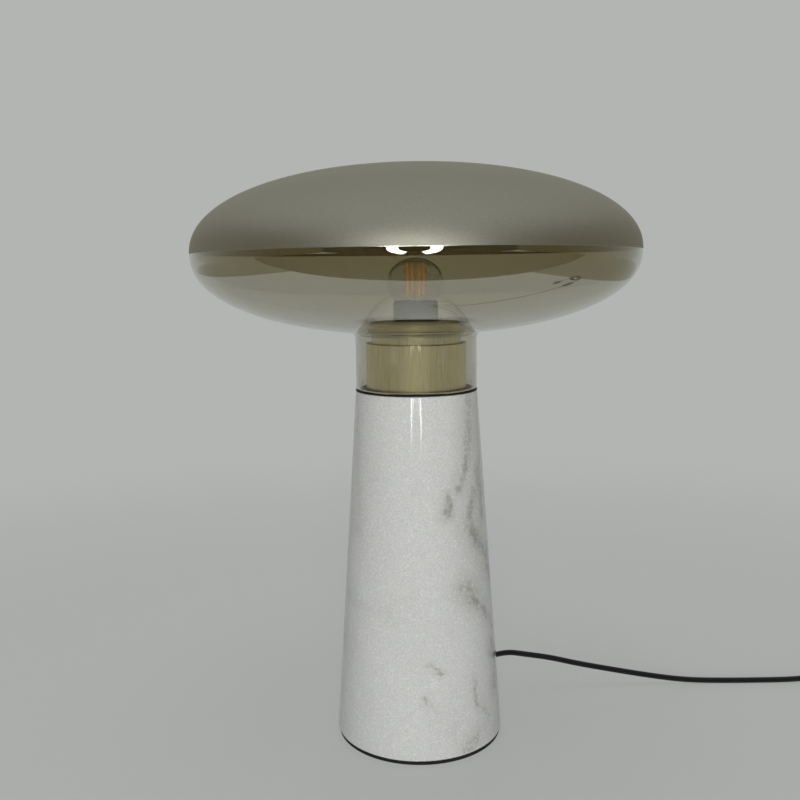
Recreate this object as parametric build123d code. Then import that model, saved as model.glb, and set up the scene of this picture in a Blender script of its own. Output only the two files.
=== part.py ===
from build123d import *
from math import atan2, cos, hypot, pi, radians, sin, sqrt, tan
import os

# Mushroom table lamp: a marble cone carries a metal collar, a lamp holder with a filament
# bulb, and a blown glass shade that lifts off. Millimetres, +Z up, origin at the middle of
# the underside. The cord leaves the back of the cone towards +X.

# --- Marble base and foot pad -----------------------------------------------------------------
PAD_RADIUS = 67.6
PAD_THICKNESS = 3.0
MARBLE_FOOT_RADIUS = 68.6
MARBLE_TOP_RADIUS = 49.0
MARBLE_HEIGHT = 283.6
MARBLE_EDGE = 1.0  # rounding of its two rims
MARBLE_BORE_RADIUS = 6.0
RECESS_RADIUS = 27.0
RECESS_DEPTH = 63.0

# --- Threaded tube and its fasteners ----------------------------------------------------------
ROD_RADIUS = 5.0  # M10 x 1 lamp tube
ROD_BORE_RADIUS = 3.5
ROD_BELOW_NUT = 1.5
ROD_ABOVE_HOLDER_FLOOR = 1.0
THREAD_CLEARANCE = 0.1
NUT_ACROSS_FLATS = 17.0
NUT_HEIGHT = 6.0
NUT_CHAMFER = (1.0, 0.8)  # off its corners, across and along
WASHER_CLEARANCE = 0.3
FOOT_WASHER_RADIUS = 22.0
FOOT_WASHER_THICKNESS = 2.5
SPRING_WASHER_RADIUS = 8.6
SPRING_WASHER_THICKNESS = 2.0
SPRING_WASHER_SPLIT = 1.2
TOP_WASHER_RADIUS = 12.0
TOP_WASHER_THICKNESS = 1.5

# --- Metal collar and its stepped cap ---------------------------------------------------------
COLLAR_INSET = 8.7  # from the marble's top rim
COLLAR_RADIUS = MARBLE_TOP_RADIUS - COLLAR_INSET
COLLAR_HEIGHT = 38.4
COLLAR_WALL = 1.5
COLLAR_FLOOR = 2.0
COLLAR_SHELF = 7.3  # flat top of the collar, out to its edge
COLLAR_MOUTH_RADIUS = COLLAR_RADIUS - COLLAR_SHELF
COLLAR_EDGE = 0.6
CAP_STEP = 4.3
CAP_RADIUS = COLLAR_RADIUS - CAP_STEP
CAP_HEIGHT = 14.0
CAP_WALL = 1.5
CAP_EDGE = 1.4
CAP_SPIGOT_DEPTH = 5.0
SLIP_CLEARANCE = 0.3  # between pieces that are pushed together by hand

# --- Lamp holder, E27 -------------------------------------------------------------------------
HOLDER_RADIUS = 18.0
HOLDER_BASE_HEIGHT = 12.9
HOLDER_BASE_WALL = 3.0
HOLDER_SLEEVE_HEIGHT = 44.0
HOLDER_SLEEVE_WALL = 1.1
HOLDER_SLEEVE_EDGE = 0.44
CORE_THICKNESS = 6.0
CORE_SKIRT_HEIGHT = 18.0
CORE_SKIRT_WALL = 1.7
CORE_CLEARANCE = 0.2
SCREW_SHELL_HEIGHT = 28.0
SCREW_SHELL_WALL = 0.42
SCREW_FIT = 0.08  # radial play between the bulb's cap and the screw shell
CONTACT_STRIP = (12.0, 6.0, 0.5)
CONTACT_POST_RADIUS = 3.0
CONTACT_POST_HEIGHT = 2.2
CONTACT_POST_EDGE = 0.8
CONTACT_GAP = 0.3
TERMINAL_OFFSET = 8.0
TERMINAL_HEAD_RADIUS = 2.8
TERMINAL_HEAD_HEIGHT = 2.4
TERMINAL_SHANK_RADIUS = 1.4
TERMINAL_SHANK_LENGTH = 5.0
LEAD_RADIUS = 1.0
LEAD_SPACING = 2.5
LEAD_STRAIGHT = 1.9  # at both its ends
TUBE_MOUTH_GAP = 0.5  # over the threaded tube, to the cord's jacket end

# --- Bulb, 45 mm globe ------------------------------------------------------------------------
GLOBE_RADIUS = 22.5
BULB_LENGTH = 73.1
BULB_GLASS_WALL = 0.9
BULB_NECK_RADIUS = 12.4
BULB_NECK_BLEND = 8.0
BULB_NECK_SUNK = 11.0  # in its cap
BULB_CAP_RADIUS = 13.0
BULB_CAP_WALL = 0.4
BULB_CAP_TOP = 26.9  # height of its rim over the tip of the bulb
BULB_CAP_FOOT_RADIUS = 9.6
BULB_CAP_FOOT = 3.4
BULB_CAP_SHOULDER = 6.4
TIP_RADIUS = 4.6
TIP_THICKNESS = 1.4
TIP_EDGE = 0.84
INSULATOR_RIM = 0.4  # round the tip
STEM_FLARE_WALL = 0.8
STEM_FLARE_HEIGHT = 7.0
STEM_FLARE_RIM = 1.5
STEM_CLEARANCE = 0.05  # to the bulb's glass
STEM_TUBE_RADIUS = 3.2
STEM_TUBE_TOP = 15.0  # over the foot of the glass
STEM_TUBE_TAPER = 2.0
STEM_ROD_RADIUS = 1.2
STEM_ROD_OVER = 1.2  # over the filaments' top ends
FILAMENT_RADIUS = 0.9
FILAMENT_LENGTH = 28.0
FILAMENT_CIRCLE = 7.0
FILAMENT_COUNT = 4
FILAMENT_TURN = 20.0  # degrees from +X to the first one
FILAMENT_FOOT = 40.0  # height over the tip of the bulb
WIRE_RADIUS = 0.25
WIRE_DROP = 4.0  # from a filament's foot to the stem
WIRE_GAP = 0.1
FILAMENT_CAP = 0.4  # metal end of a filament
DRIVER_BOARD = (15.0, 1.2, 8.0)
DRIVER_BOARD_FOOT = 7.2
DRIVER_PART_RADIUS = 2.6
DRIVER_PART_SPAN = (1.0, 6.5)  # over the board's foot
DRIVER_PART_SINK = 0.2  # into the board
DRIVER_LEG = 1.0

# --- Glass shade ------------------------------------------------------------------------------
SHADE_RADIUS = 175.0
DOME_RISE = 67.0
BOWL_DROP = 64.0
DOME_FULLNESS = 2.15  # 2 is an ellipse, more is fuller towards the rim
BOWL_FULLNESS = 2.2
SHADE_WALL = 3.0
NECK_INSET = 0.4  # from the marble's top rim
NECK_RADIUS = MARBLE_TOP_RADIUS - NECK_INSET
NECK_TO_EQUATOR = 107.9
NECK_FILLET = 6.0
NECK_FLARE_BELOW = 6.5  # from the bowl's lowest level down to the straight neck
NECK_INNER_FILLET = 3.0
NECK_FOOT_EDGE = 1.0
OUTLINE_POINTS = 12

# --- Seat ring between marble and glass -------------------------------------------------------
SEAT_THICKNESS = 1.0
SEAT_EDGE_INSET = 0.1
SEAT_LIP_HEIGHT = 1.3
SEAT_LIP_WALL = 1.6
SEAT_LIP_CLEARANCE = 0.4

# --- Cord bushing in the back of the marble ---------------------------------------------------
CORD_RADIUS = 2.5
CORD_EXIT_ANGLE = 38.0  # degrees from +X towards +Y
CORD_EXIT_HEIGHT = 35.5
BUSHING_SEAT = 64.5  # distance of its flange's back from the lamp's axis
BUSHING_FLANGE_RADIUS = 8.0
BUSHING_FLANGE = 2.0
BUSHING_BARREL_RADIUS = 5.0
BUSHING_BARREL = 12.0
BUSHING_NOSE = 18.0
BUSHING_NOSE_ROOT = 4.6
BUSHING_NOSE_TIP = 3.4
BUSHING_CLEARANCE = 0.15
CORD_CLEARANCE = 0.2
INNER_BEND = 18.0
EXIT_STRAIGHT = 20.0  # of cord, out of the bushing

# --- Switch on the cord -----------------------------------------------------------------------
SWITCH_AT = (422.0, 62.0)
SWITCH_LENGTH = 60.0
SWITCH_WIDTH = 24.0
SWITCH_LOWER = 7.0
SWITCH_UPPER = 9.0
SWITCH_CORNER = 9.0
SWITCH_EDGE = 2.5
SWITCH_WALL = 2.0
SWITCH_SCREW_AT = (20.0, 7.0)
SWITCH_BOSS_RADIUS = 2.6
SWITCH_SCREW_RADIUS = 1.2
SWITCH_SCREW_HEAD = 2.2
SWITCH_SCREW_HEAD_HEIGHT = 1.5
SWITCH_SCREW_LENGTH = 10.0
ROCKER_LENGTH = 20.4
ROCKER_WIDTH = 8.0
ROCKER_PIVOT_HEIGHT = 11.5
ROCKER_RISE = 6.0  # its ends over the pivot
ROCKER_WAIST = 5.2  # its middle over the pivot
ROCKER_DEPTH = 2.4
ROCKER_TILT = 7.0
ROCKER_END_PLAY = 0.9
ROCKER_SIDE_PLAY = 0.5
PIVOT_RADIUS = 1.2
PIVOT_FIT = 0.07
PIVOT_REACH = 7.0
EAR_SIZE = (6.0, 2.0)
EAR_INNER = 5.2
CONTACT_BLOCK = (5.0, 4.4, 6.5)
CONTACT_BLOCK_AT = (14.0, -2.3)
CORE_RADIUS = 0.9
CORE_SIDE = 1.3

# --- Plug -------------------------------------------------------------------------------------
PLUG_AT = (424.0, -17.0)  # where the cord enters it
PLUG_RELIEF = 12.0
PLUG_RELIEF_TIP = 3.6
PLUG_RELIEF_ROOT = 5.0
PLUG_LENGTH = 28.0
PLUG_WIDTH = 26.0
PLUG_HEIGHT = 16.0
PLUG_CORNER = 5.0
BLADE_LENGTH = 17.0
BLADE_WIDTH = 6.3
BLADE_THICKNESS = 1.5
BLADE_SPACING = 12.7
BLADE_ROOT = 6.0

# --- Put-away coil ----------------------------------------------------------------------------
COIL_AT = (514.0, 24.0)
COIL_RADIUS = 39.5  # outermost turn, at the middle of the cord
COIL_PITCH = 5.6
COIL_LAYER_RISE = 5.6
COIL_TURNS = 3  # in each of its two layers
COIL_FLOOR_GAP = 1.1
COIL_END = 5.0
TIE_WIDTH = 4.0
TIE_THICKNESS = 0.7
TIE_CLEARANCE = 0.3
TIE_HEAD = (4.5, 5.0, 4.0)

# --- Heights that follow from the stack -------------------------------------------------------
MARBLE_TOP = PAD_THICKNESS + MARBLE_HEIGHT
RECESS_TOP = PAD_THICKNESS + RECESS_DEPTH
FOOT_WASHER_Z = RECESS_TOP - FOOT_WASHER_THICKNESS
SPRING_WASHER_Z = FOOT_WASHER_Z - SPRING_WASHER_THICKNESS
FOOT_NUT_Z = SPRING_WASHER_Z - NUT_HEIGHT
COLLAR_TOP = MARBLE_TOP + COLLAR_HEIGHT
TOP_WASHER_Z = MARBLE_TOP + COLLAR_FLOOR
TOP_NUT_Z = TOP_WASHER_Z + TOP_WASHER_THICKNESS
HOLDER_Z = TOP_NUT_Z + NUT_HEIGHT
HOLDER_FLOOR_TOP = HOLDER_Z + HOLDER_BASE_WALL
ROD_BOTTOM = FOOT_NUT_Z - ROD_BELOW_NUT
ROD_TOP = HOLDER_FLOOR_TOP + ROD_ABOVE_HOLDER_FLOOR
CORE_Z = HOLDER_Z + HOLDER_BASE_HEIGHT
CORE_TOP = CORE_Z + CORE_THICKNESS
SLEEVE_INNER = HOLDER_RADIUS - HOLDER_SLEEVE_WALL
SHELL_INNER = BULB_CAP_RADIUS + SCREW_FIT
CONTACT_TOP = CORE_TOP + CONTACT_STRIP[2] + CONTACT_POST_HEIGHT
BULB_TIP = CONTACT_TOP + CONTACT_GAP
GLOBE_Z = BULB_TIP + BULB_LENGTH - GLOBE_RADIUS
GLASS_FOOT = BULB_TIP + BULB_CAP_TOP - BULB_NECK_SUNK
SEAT_TOP = MARBLE_TOP + SEAT_THICKNESS
EQUATOR_Z = SEAT_TOP + NECK_TO_EQUATOR
NECK_TOP = EQUATOR_Z - BOWL_DROP - NECK_FLARE_BELOW
COIL_Z = CORD_RADIUS + COIL_FLOOR_GAP
BUSHING_MOUTH = BUSHING_SEAT + BUSHING_FLANGE + BUSHING_NOSE
SWITCH_SPLIT = SWITCH_LOWER
SWITCH_TOP = SWITCH_LOWER + SWITCH_UPPER
PLUG_Z = PLUG_HEIGHT / 2


# --- Helpers ----------------------------------------------------------------------------------
def tube(outer, inner, bottom, top):
    """A ring about Z between two heights."""
    middle = Pos(0, 0, (bottom + top) / 2)
    return middle * (Cylinder(outer, top - bottom) - Cylinder(inner, top - bottom))


def rod(radius, bottom, top, x=0.0, y=0.0):
    """An upright cylinder between two heights."""
    return Pos(x, y, (bottom + top) / 2) * Cylinder(radius, top - bottom)


def block(size_x, size_y, bottom, top, x=0.0, y=0.0):
    """An upright box between two heights."""
    return Pos(x, y, (bottom + top) / 2) * Box(size_x, size_y, top - bottom)


def turned(outline):
    """Revolve a closed outline of (radius, height) points about Z."""
    wire = Polyline(*[(r, 0, z) for r, z in outline], close=True)
    return revolve(make_face(wire), Axis.Z)


def strut(start, end, radius):
    """A straight round bar between two points."""
    way = Vector(*end) - Vector(*start)
    plane = Plane(origin=start, z_dir=way)
    return extrude(plane * Circle(radius), way.length)


def cord_line(points):
    """Straight runs joined by arcs as large as their two runs allow."""
    spots = [Vector(*p) for p in points]
    radii = []
    for before, here, after in zip(spots, spots[1:], spots[2:]):
        shorter = min((here - before).length, (after - here).length)
        turn = radians((here - before).get_angle(after - here))
        radii.append(0.45 * shorter / tan(turn / 2))
    return FilletPolyline(*points, radius=radii), radii


def round_tube(line, radius):
    """A round cord along a line."""
    return sweep(Plane(origin=line @ 0, z_dir=line % 0) * Circle(radius), path=line)


def on_exit(distance, height=CORD_EXIT_HEIGHT):
    """A point on the vertical plane of the cord's exit, by its distance from the axis."""
    angle = radians(CORD_EXIT_ANGLE)
    return (distance * cos(angle), distance * sin(angle), height)


def marble_radius(height):
    """The cone's radius at a height over the table."""
    share = (height - PAD_THICKNESS) / MARBLE_HEIGHT
    return MARBLE_FOOT_RADIUS + (MARBLE_TOP_RADIUS - MARBLE_FOOT_RADIUS) * share


# --- Base -------------------------------------------------------------------------------------
def foot_pad():
    return rod(PAD_RADIUS, 0, PAD_THICKNESS)


def marble_base():
    cone = Pos(0, 0, PAD_THICKNESS + MARBLE_HEIGHT / 2) * Cone(
        MARBLE_FOOT_RADIUS, MARBLE_TOP_RADIUS, MARBLE_HEIGHT
    )
    cone = fillet(cone.edges().filter_by(GeomType.CIRCLE), MARBLE_EDGE)
    cone -= rod(MARBLE_BORE_RADIUS, PAD_THICKNESS, MARBLE_TOP)
    cone -= rod(RECESS_RADIUS, PAD_THICKNESS, RECESS_TOP)
    outside = marble_radius(CORD_EXIT_HEIGHT) + BUSHING_FLANGE_RADIUS
    cone -= strut(on_exit(0), on_exit(outside), BUSHING_BARREL_RADIUS + BUSHING_CLEARANCE)
    seat = BUSHING_FLANGE_RADIUS + SLIP_CLEARANCE
    return cone - strut(on_exit(BUSHING_SEAT), on_exit(outside), seat)


def foot_washer():
    hole = ROD_RADIUS + WASHER_CLEARANCE
    return tube(FOOT_WASHER_RADIUS, hole, FOOT_WASHER_Z, RECESS_TOP)


def spring_washer():
    hole = ROD_RADIUS + WASHER_CLEARANCE
    ring = tube(SPRING_WASHER_RADIUS, hole, SPRING_WASHER_Z, FOOT_WASHER_Z)
    split = block(SPRING_WASHER_RADIUS, SPRING_WASHER_SPLIT, SPRING_WASHER_Z, FOOT_WASHER_Z)
    return ring - Pos(SPRING_WASHER_RADIUS / 2 + hole / 2, 0, 0) * split


def hex_nut(bottom):
    corner = NUT_ACROSS_FLATS / sqrt(3)
    across, along = NUT_CHAMFER
    top = bottom + NUT_HEIGHT
    prism = Pos(0, 0, bottom) * extrude(RegularPolygon(corner, 6), NUT_HEIGHT)
    chamfered = prism & turned([
        (0, bottom), (corner - across, bottom), (corner + THREAD_CLEARANCE, bottom + along),
        (corner + THREAD_CLEARANCE, top - along), (corner - across, top), (0, top),
    ])
    return chamfered - rod(ROD_RADIUS + THREAD_CLEARANCE, bottom, top)


def threaded_tube():
    return tube(ROD_RADIUS, ROD_BORE_RADIUS, ROD_BOTTOM, ROD_TOP)


# --- Collar and cap ---------------------------------------------------------------------------
def collar():
    inner = COLLAR_RADIUS - COLLAR_WALL
    hole = ROD_RADIUS + WASHER_CLEARANCE
    cup = turned([
        (hole, MARBLE_TOP), (COLLAR_RADIUS, MARBLE_TOP), (COLLAR_RADIUS, COLLAR_TOP),
        (COLLAR_MOUTH_RADIUS, COLLAR_TOP), (COLLAR_MOUTH_RADIUS, COLLAR_TOP - COLLAR_WALL),
        (inner, COLLAR_TOP - COLLAR_WALL), (inner, TOP_WASHER_Z), (hole, TOP_WASHER_Z),
    ])
    rim = cup.edges().filter_by(GeomType.CIRCLE).group_by(Axis.Z)[-1].sort_by(SortBy.RADIUS)[-1]
    return fillet(rim, COLLAR_EDGE)


def collar_cap():
    foot = COLLAR_TOP
    top = COLLAR_TOP + CAP_HEIGHT
    spigot = COLLAR_MOUTH_RADIUS - SLIP_CLEARANCE
    hole = HOLDER_RADIUS + SLIP_CLEARANCE
    cap = turned([
        (spigot, foot - CAP_SPIGOT_DEPTH), (spigot, foot), (CAP_RADIUS, foot), (CAP_RADIUS, top),
        (hole, top), (hole, top - CAP_WALL), (CAP_RADIUS - CAP_WALL, top - CAP_WALL),
        (CAP_RADIUS - CAP_WALL, foot + CAP_WALL), (spigot - CAP_WALL, foot + CAP_WALL),
        (spigot - CAP_WALL, foot - CAP_SPIGOT_DEPTH),
    ])
    rim = cap.edges().filter_by(GeomType.CIRCLE).group_by(Axis.Z)[-1].sort_by(SortBy.RADIUS)[-1]
    return fillet(rim, CAP_EDGE)


def seat_ring():
    neck_inner = NECK_RADIUS - SHADE_WALL
    lip = neck_inner - SEAT_LIP_CLEARANCE
    inner = COLLAR_RADIUS + SLIP_CLEARANCE
    outer = MARBLE_TOP_RADIUS - SEAT_EDGE_INSET
    return turned([
        (inner, MARBLE_TOP), (outer, MARBLE_TOP), (outer, SEAT_TOP), (lip, SEAT_TOP),
        (lip, SEAT_TOP + SEAT_LIP_HEIGHT), (lip - SEAT_LIP_WALL, SEAT_TOP + SEAT_LIP_HEIGHT),
        (lip - SEAT_LIP_WALL, SEAT_TOP), (inner, SEAT_TOP),
    ])


# --- Lamp holder ------------------------------------------------------------------------------
def holder_base():
    inner = HOLDER_RADIUS - HOLDER_BASE_WALL
    cup = rod(HOLDER_RADIUS, HOLDER_Z, CORE_Z) - rod(inner, HOLDER_FLOOR_TOP, CORE_Z)
    return cup - rod(ROD_RADIUS + THREAD_CLEARANCE, HOLDER_Z, HOLDER_FLOOR_TOP)


def holder_sleeve():
    top = CORE_Z + HOLDER_SLEEVE_HEIGHT
    sleeve = tube(HOLDER_RADIUS, SLEEVE_INNER, CORE_Z, top)
    rim = sleeve.edges().filter_by(GeomType.CIRCLE).group_by(Axis.Z)[-1]
    return fillet(rim, HOLDER_SLEEVE_EDGE)


def holder_core():
    disc = SLEEVE_INNER - CORE_CLEARANCE
    skirt = SHELL_INNER + SCREW_SHELL_WALL + CORE_CLEARANCE
    core = rod(disc, CORE_Z, CORE_TOP)
    core += tube(skirt + CORE_SKIRT_WALL, skirt, CORE_TOP, CORE_TOP + CORE_SKIRT_HEIGHT)
    for side in (-1, 1):
        hole = TERMINAL_SHANK_RADIUS + THREAD_CLEARANCE
        core -= rod(hole, CORE_Z, CORE_Z + TERMINAL_SHANK_LENGTH, side * TERMINAL_OFFSET)
    return core


def holder_screw_shell():
    outer = SHELL_INNER + SCREW_SHELL_WALL
    return tube(outer, SHELL_INNER, CORE_TOP, CORE_TOP + SCREW_SHELL_HEIGHT)


def holder_centre_contact():
    length, width, thickness = CONTACT_STRIP
    strip = block(length, width, CORE_TOP, CORE_TOP + thickness)
    post = rod(CONTACT_POST_RADIUS, CORE_TOP + thickness, CONTACT_TOP)
    return strip + fillet(post.edges().group_by(Axis.Z)[-1], CONTACT_POST_EDGE)


def terminal_screws():
    screws = []
    for side in (-1, 1):
        at = side * TERMINAL_OFFSET
        head = rod(TERMINAL_HEAD_RADIUS, CORE_Z - TERMINAL_HEAD_HEIGHT, CORE_Z, at)
        shank = rod(TERMINAL_SHANK_RADIUS, CORE_Z, CORE_Z + TERMINAL_SHANK_LENGTH, at)
        screws.append((head + shank).solid())
    return Compound(screws)


def lead_wires():
    start = ROD_TOP + TUBE_MOUTH_GAP
    end = CORE_Z - TERMINAL_HEAD_HEIGHT
    wires = []
    for side in (-1, 1):
        near, far = side * LEAD_SPACING / 2, side * TERMINAL_OFFSET
        line = FilletPolyline(
            (near, 0, start), (near, 0, start + LEAD_STRAIGHT),
            (far, 0, end - LEAD_STRAIGHT), (far, 0, end),
            radius=LEAD_RADIUS * 1.25,
        )
        wires.append(round_tube(line, LEAD_RADIUS).solid())
    return Compound(wires)


# --- Bulb -------------------------------------------------------------------------------------
def bulb_outline(shrink):
    """Half outline of the bulb's glass, drawn in by a wall, as a face on the XZ plane."""
    globe, neck, blend = GLOBE_RADIUS - shrink, BULB_NECK_RADIUS - shrink, BULB_NECK_BLEND + shrink
    drop = sqrt((globe + blend) ** 2 - (neck + blend) ** 2)
    centre = (neck + blend, GLOBE_Z - drop)
    share = globe / (globe + blend)
    meet = (centre[0] * share, GLOBE_Z - drop * share)
    half = atan2(drop, neck + blend) / 2
    blend_middle = (centre[0] - blend * cos(half), centre[1] + blend * sin(half))
    top = (0, GLOBE_Z + globe)
    foot = (neck, GLASS_FOOT)
    outline = [
        Line(at(foot), at((neck, centre[1]))),
        ThreePointArc(at((neck, centre[1])), at(blend_middle), at(meet)),
        ThreePointArc(at(meet), at((globe, GLOBE_Z)), at(top)),
        Line(at(top), at((0, GLASS_FOOT))),
        Line(at((0, GLASS_FOOT)), at(foot)),
    ]
    return make_face(outline)


def at(spot):
    """A (radius, height) pair as a point of the XZ plane."""
    return (spot[0], 0, spot[1])


def bulb_glass():
    return revolve(bulb_outline(0), Axis.Z) - revolve(bulb_outline(BULB_GLASS_WALL), Axis.Z)


def bulb_stem():
    outer = BULB_NECK_RADIUS - BULB_GLASS_WALL - STEM_CLEARANCE
    inside = GLASS_FOOT + STEM_FLARE_WALL
    tube_top = GLASS_FOOT + STEM_TUBE_TOP
    rod_top = BULB_TIP + FILAMENT_FOOT + FILAMENT_LENGTH + STEM_ROD_OVER
    return turned([
        (0, inside), (STEM_TUBE_RADIUS - STEM_FLARE_WALL, inside), (outer - STEM_FLARE_RIM, GLASS_FOOT),
        (outer, GLASS_FOOT), (outer, inside), (STEM_TUBE_RADIUS, GLASS_FOOT + STEM_FLARE_HEIGHT),
        (STEM_TUBE_RADIUS, tube_top - STEM_TUBE_TAPER), (STEM_ROD_RADIUS, tube_top),
        (STEM_ROD_RADIUS, rod_top), (0, rod_top),
    ])


def filament_spots():
    """Plan positions of the filaments about the bulb's axis."""
    turns = [radians(FILAMENT_TURN + 360 * k / FILAMENT_COUNT) for k in range(FILAMENT_COUNT)]
    return [(FILAMENT_CIRCLE * cos(t), FILAMENT_CIRCLE * sin(t)) for t in turns]


def filaments():
    foot = BULB_TIP + FILAMENT_FOOT
    sticks = [rod(FILAMENT_RADIUS, foot, foot + FILAMENT_LENGTH, x, y) for x, y in filament_spots()]
    return Compound([stick.solid() for stick in sticks])


def filament_wires():
    foot = BULB_TIP + FILAMENT_FOOT
    top = foot + FILAMENT_LENGTH
    near = (STEM_ROD_RADIUS + WIRE_RADIUS + WIRE_GAP) / FILAMENT_CIRCLE
    cap = FILAMENT_CAP
    wires = []
    for x, y in filament_spots():
        wires.append(strut((x, y, foot - cap), (x * near, y * near, foot - WIRE_DROP), WIRE_RADIUS))
        wires.append(strut((x, y, top + cap), (x * near, y * near, top + 2 * cap), WIRE_RADIUS))
    return Compound([wire.solid() for wire in wires])


def bulb_cap():
    top = BULB_TIP + BULB_CAP_TOP
    foot = BULB_TIP + BULB_CAP_FOOT
    shoulder = BULB_TIP + BULB_CAP_SHOULDER
    return turned([
        (BULB_CAP_FOOT_RADIUS - BULB_CAP_WALL, foot), (BULB_CAP_FOOT_RADIUS, foot),
        (BULB_CAP_RADIUS, shoulder), (BULB_CAP_RADIUS, top),
        (BULB_CAP_RADIUS - BULB_CAP_WALL, top),
        (BULB_CAP_RADIUS - BULB_CAP_WALL, shoulder + BULB_CAP_WALL / 2),
        (BULB_CAP_FOOT_RADIUS - BULB_CAP_WALL, foot + BULB_CAP_WALL * 1.5),
    ])


def bulb_insulator():
    foot = BULB_TIP + TIP_THICKNESS
    top = BULB_TIP + BULB_CAP_FOOT
    return turned([(0, foot), (TIP_RADIUS + INSULATOR_RIM, foot), (BULB_CAP_FOOT_RADIUS, top), (0, top)])


def bulb_tip():
    disc = rod(TIP_RADIUS, BULB_TIP, BULB_TIP + TIP_THICKNESS)
    return fillet(disc.edges().group_by(Axis.Z)[0], TIP_EDGE)


def bulb_driver():
    length, thickness, height = DRIVER_BOARD
    foot = BULB_TIP + DRIVER_BOARD_FOOT
    board = block(length, thickness, foot, foot + height)
    low, high = DRIVER_PART_SPAN
    beside = thickness / 2 + DRIVER_PART_RADIUS - DRIVER_PART_SINK
    part = rod(DRIVER_PART_RADIUS, foot + low, foot + high, 0, beside)
    leg = block(DRIVER_LEG, thickness, BULB_TIP + BULB_CAP_FOOT, foot)
    return board + part + leg


# --- Shade ------------------------------------------------------------------------------------
def shade_spot(turn, shrink, rise, fullness):
    """A point of the shade's outline, from its rim at 0 to its axis at a quarter turn."""
    across = max(cos(turn), 0.0) ** (2 / fullness)
    return (SHADE_RADIUS - shrink) * across, EQUATOR_Z + rise * sin(turn) ** (2 / fullness)


def neck_blend(shrink, blend):
    """Where an arc of this radius leaves the bowl for the neck: turn, heading and centre."""
    step = 1e-4
    low, high = step, pi / 2 - step
    for _ in range(50):
        turn = (low + high) / 2
        near = shade_spot(turn - step, shrink, shrink - BOWL_DROP, BOWL_FULLNESS)
        far = shade_spot(turn + step, shrink, shrink - BOWL_DROP, BOWL_FULLNESS)
        span = hypot(far[0] - near[0], far[1] - near[1])
        run, fall = (far[0] - near[0]) / span, (far[1] - near[1]) / span
        centre = (near[0] - blend * fall, near[1] + blend * run)
        if centre[0] > NECK_RADIUS - shrink + blend:
            low = turn
        else:
            high = turn
    return turn, (run, fall), centre


def shade_form(shrink, blend):
    """The shade's outside as a full form, drawn in by a wall."""
    neck = NECK_RADIUS - shrink
    end, (run, fall), centre = neck_blend(shrink, blend)
    share = range(OUTLINE_POINTS + 1)
    rise, drop = DOME_RISE - shrink, BOWL_DROP - shrink
    dome = [shade_spot(pi / 2 * k / OUTLINE_POINTS, shrink, rise, DOME_FULLNESS) for k in share]
    bowl = [shade_spot(end * k / OUTLINE_POINTS, shrink, -drop, BOWL_FULLNESS) for k in share]
    to_middle = (fall - 1, -run)
    reach = blend / hypot(*to_middle)
    middle = (centre[0] + reach * to_middle[0], centre[1] + reach * to_middle[1])
    outline = [
        Spline(*[at(spot) for spot in dome], tangents=[(0, 0, 1), (-1, 0, 0)]),
        Spline(*[at(spot) for spot in bowl], tangents=[(0, 0, -1), (run, 0, fall)]),
        ThreePointArc(at(bowl[-1]), at(middle), at((neck, centre[1]))),
        Polyline(at((neck, centre[1])), at((neck, SEAT_TOP)), at((0, SEAT_TOP)), at(dome[-1])),
    ]
    return revolve(make_face(outline), Axis.Z)


def shade_glass():
    """The whole blown glass: a satin dome over a clear bowl with a neck."""
    glass = shade_form(0, NECK_FILLET) - shade_form(SHADE_WALL, NECK_INNER_FILLET)
    foot = glass.edges().filter_by(GeomType.CIRCLE).group_by(Axis.Z)[0]
    return fillet(foot, NECK_FOOT_EDGE)


def shade_slice(bottom, top):
    """The part of the glass between two heights."""
    return (shade_glass() & rod(SHADE_RADIUS + SLIP_CLEARANCE, bottom, top)).solid()


def shade_dome():
    return shade_slice(EQUATOR_Z, EQUATOR_Z + DOME_RISE + SLIP_CLEARANCE)


def shade_bowl():
    return shade_slice(NECK_TOP, EQUATOR_Z)


def shade_neck():
    return shade_slice(SEAT_TOP, NECK_TOP)


# --- Cord inside the lamp ---------------------------------------------------------------------
def cord_bushing():
    seat = BUSHING_SEAT
    bore = CORD_RADIUS + CORD_CLEARANCE
    root = seat + BUSHING_FLANGE
    shape = turned([
        (bore, seat - BUSHING_BARREL), (BUSHING_BARREL_RADIUS, seat - BUSHING_BARREL),
        (BUSHING_BARREL_RADIUS, seat), (BUSHING_FLANGE_RADIUS, seat), (BUSHING_FLANGE_RADIUS, root),
        (BUSHING_NOSE_ROOT, root), (BUSHING_NOSE_TIP, BUSHING_MOUTH), (bore, BUSHING_MOUTH),
    ])
    way = Vector(*on_exit(1, 0))
    return Plane(origin=on_exit(0), z_dir=way).location * shape


def inner_cord():
    line = FilletPolyline(
        on_exit(BUSHING_MOUTH), on_exit(0), (0, 0, ROD_TOP + TUBE_MOUTH_GAP), radius=INNER_BEND
    )
    return round_tube(line, CORD_RADIUS)


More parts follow.
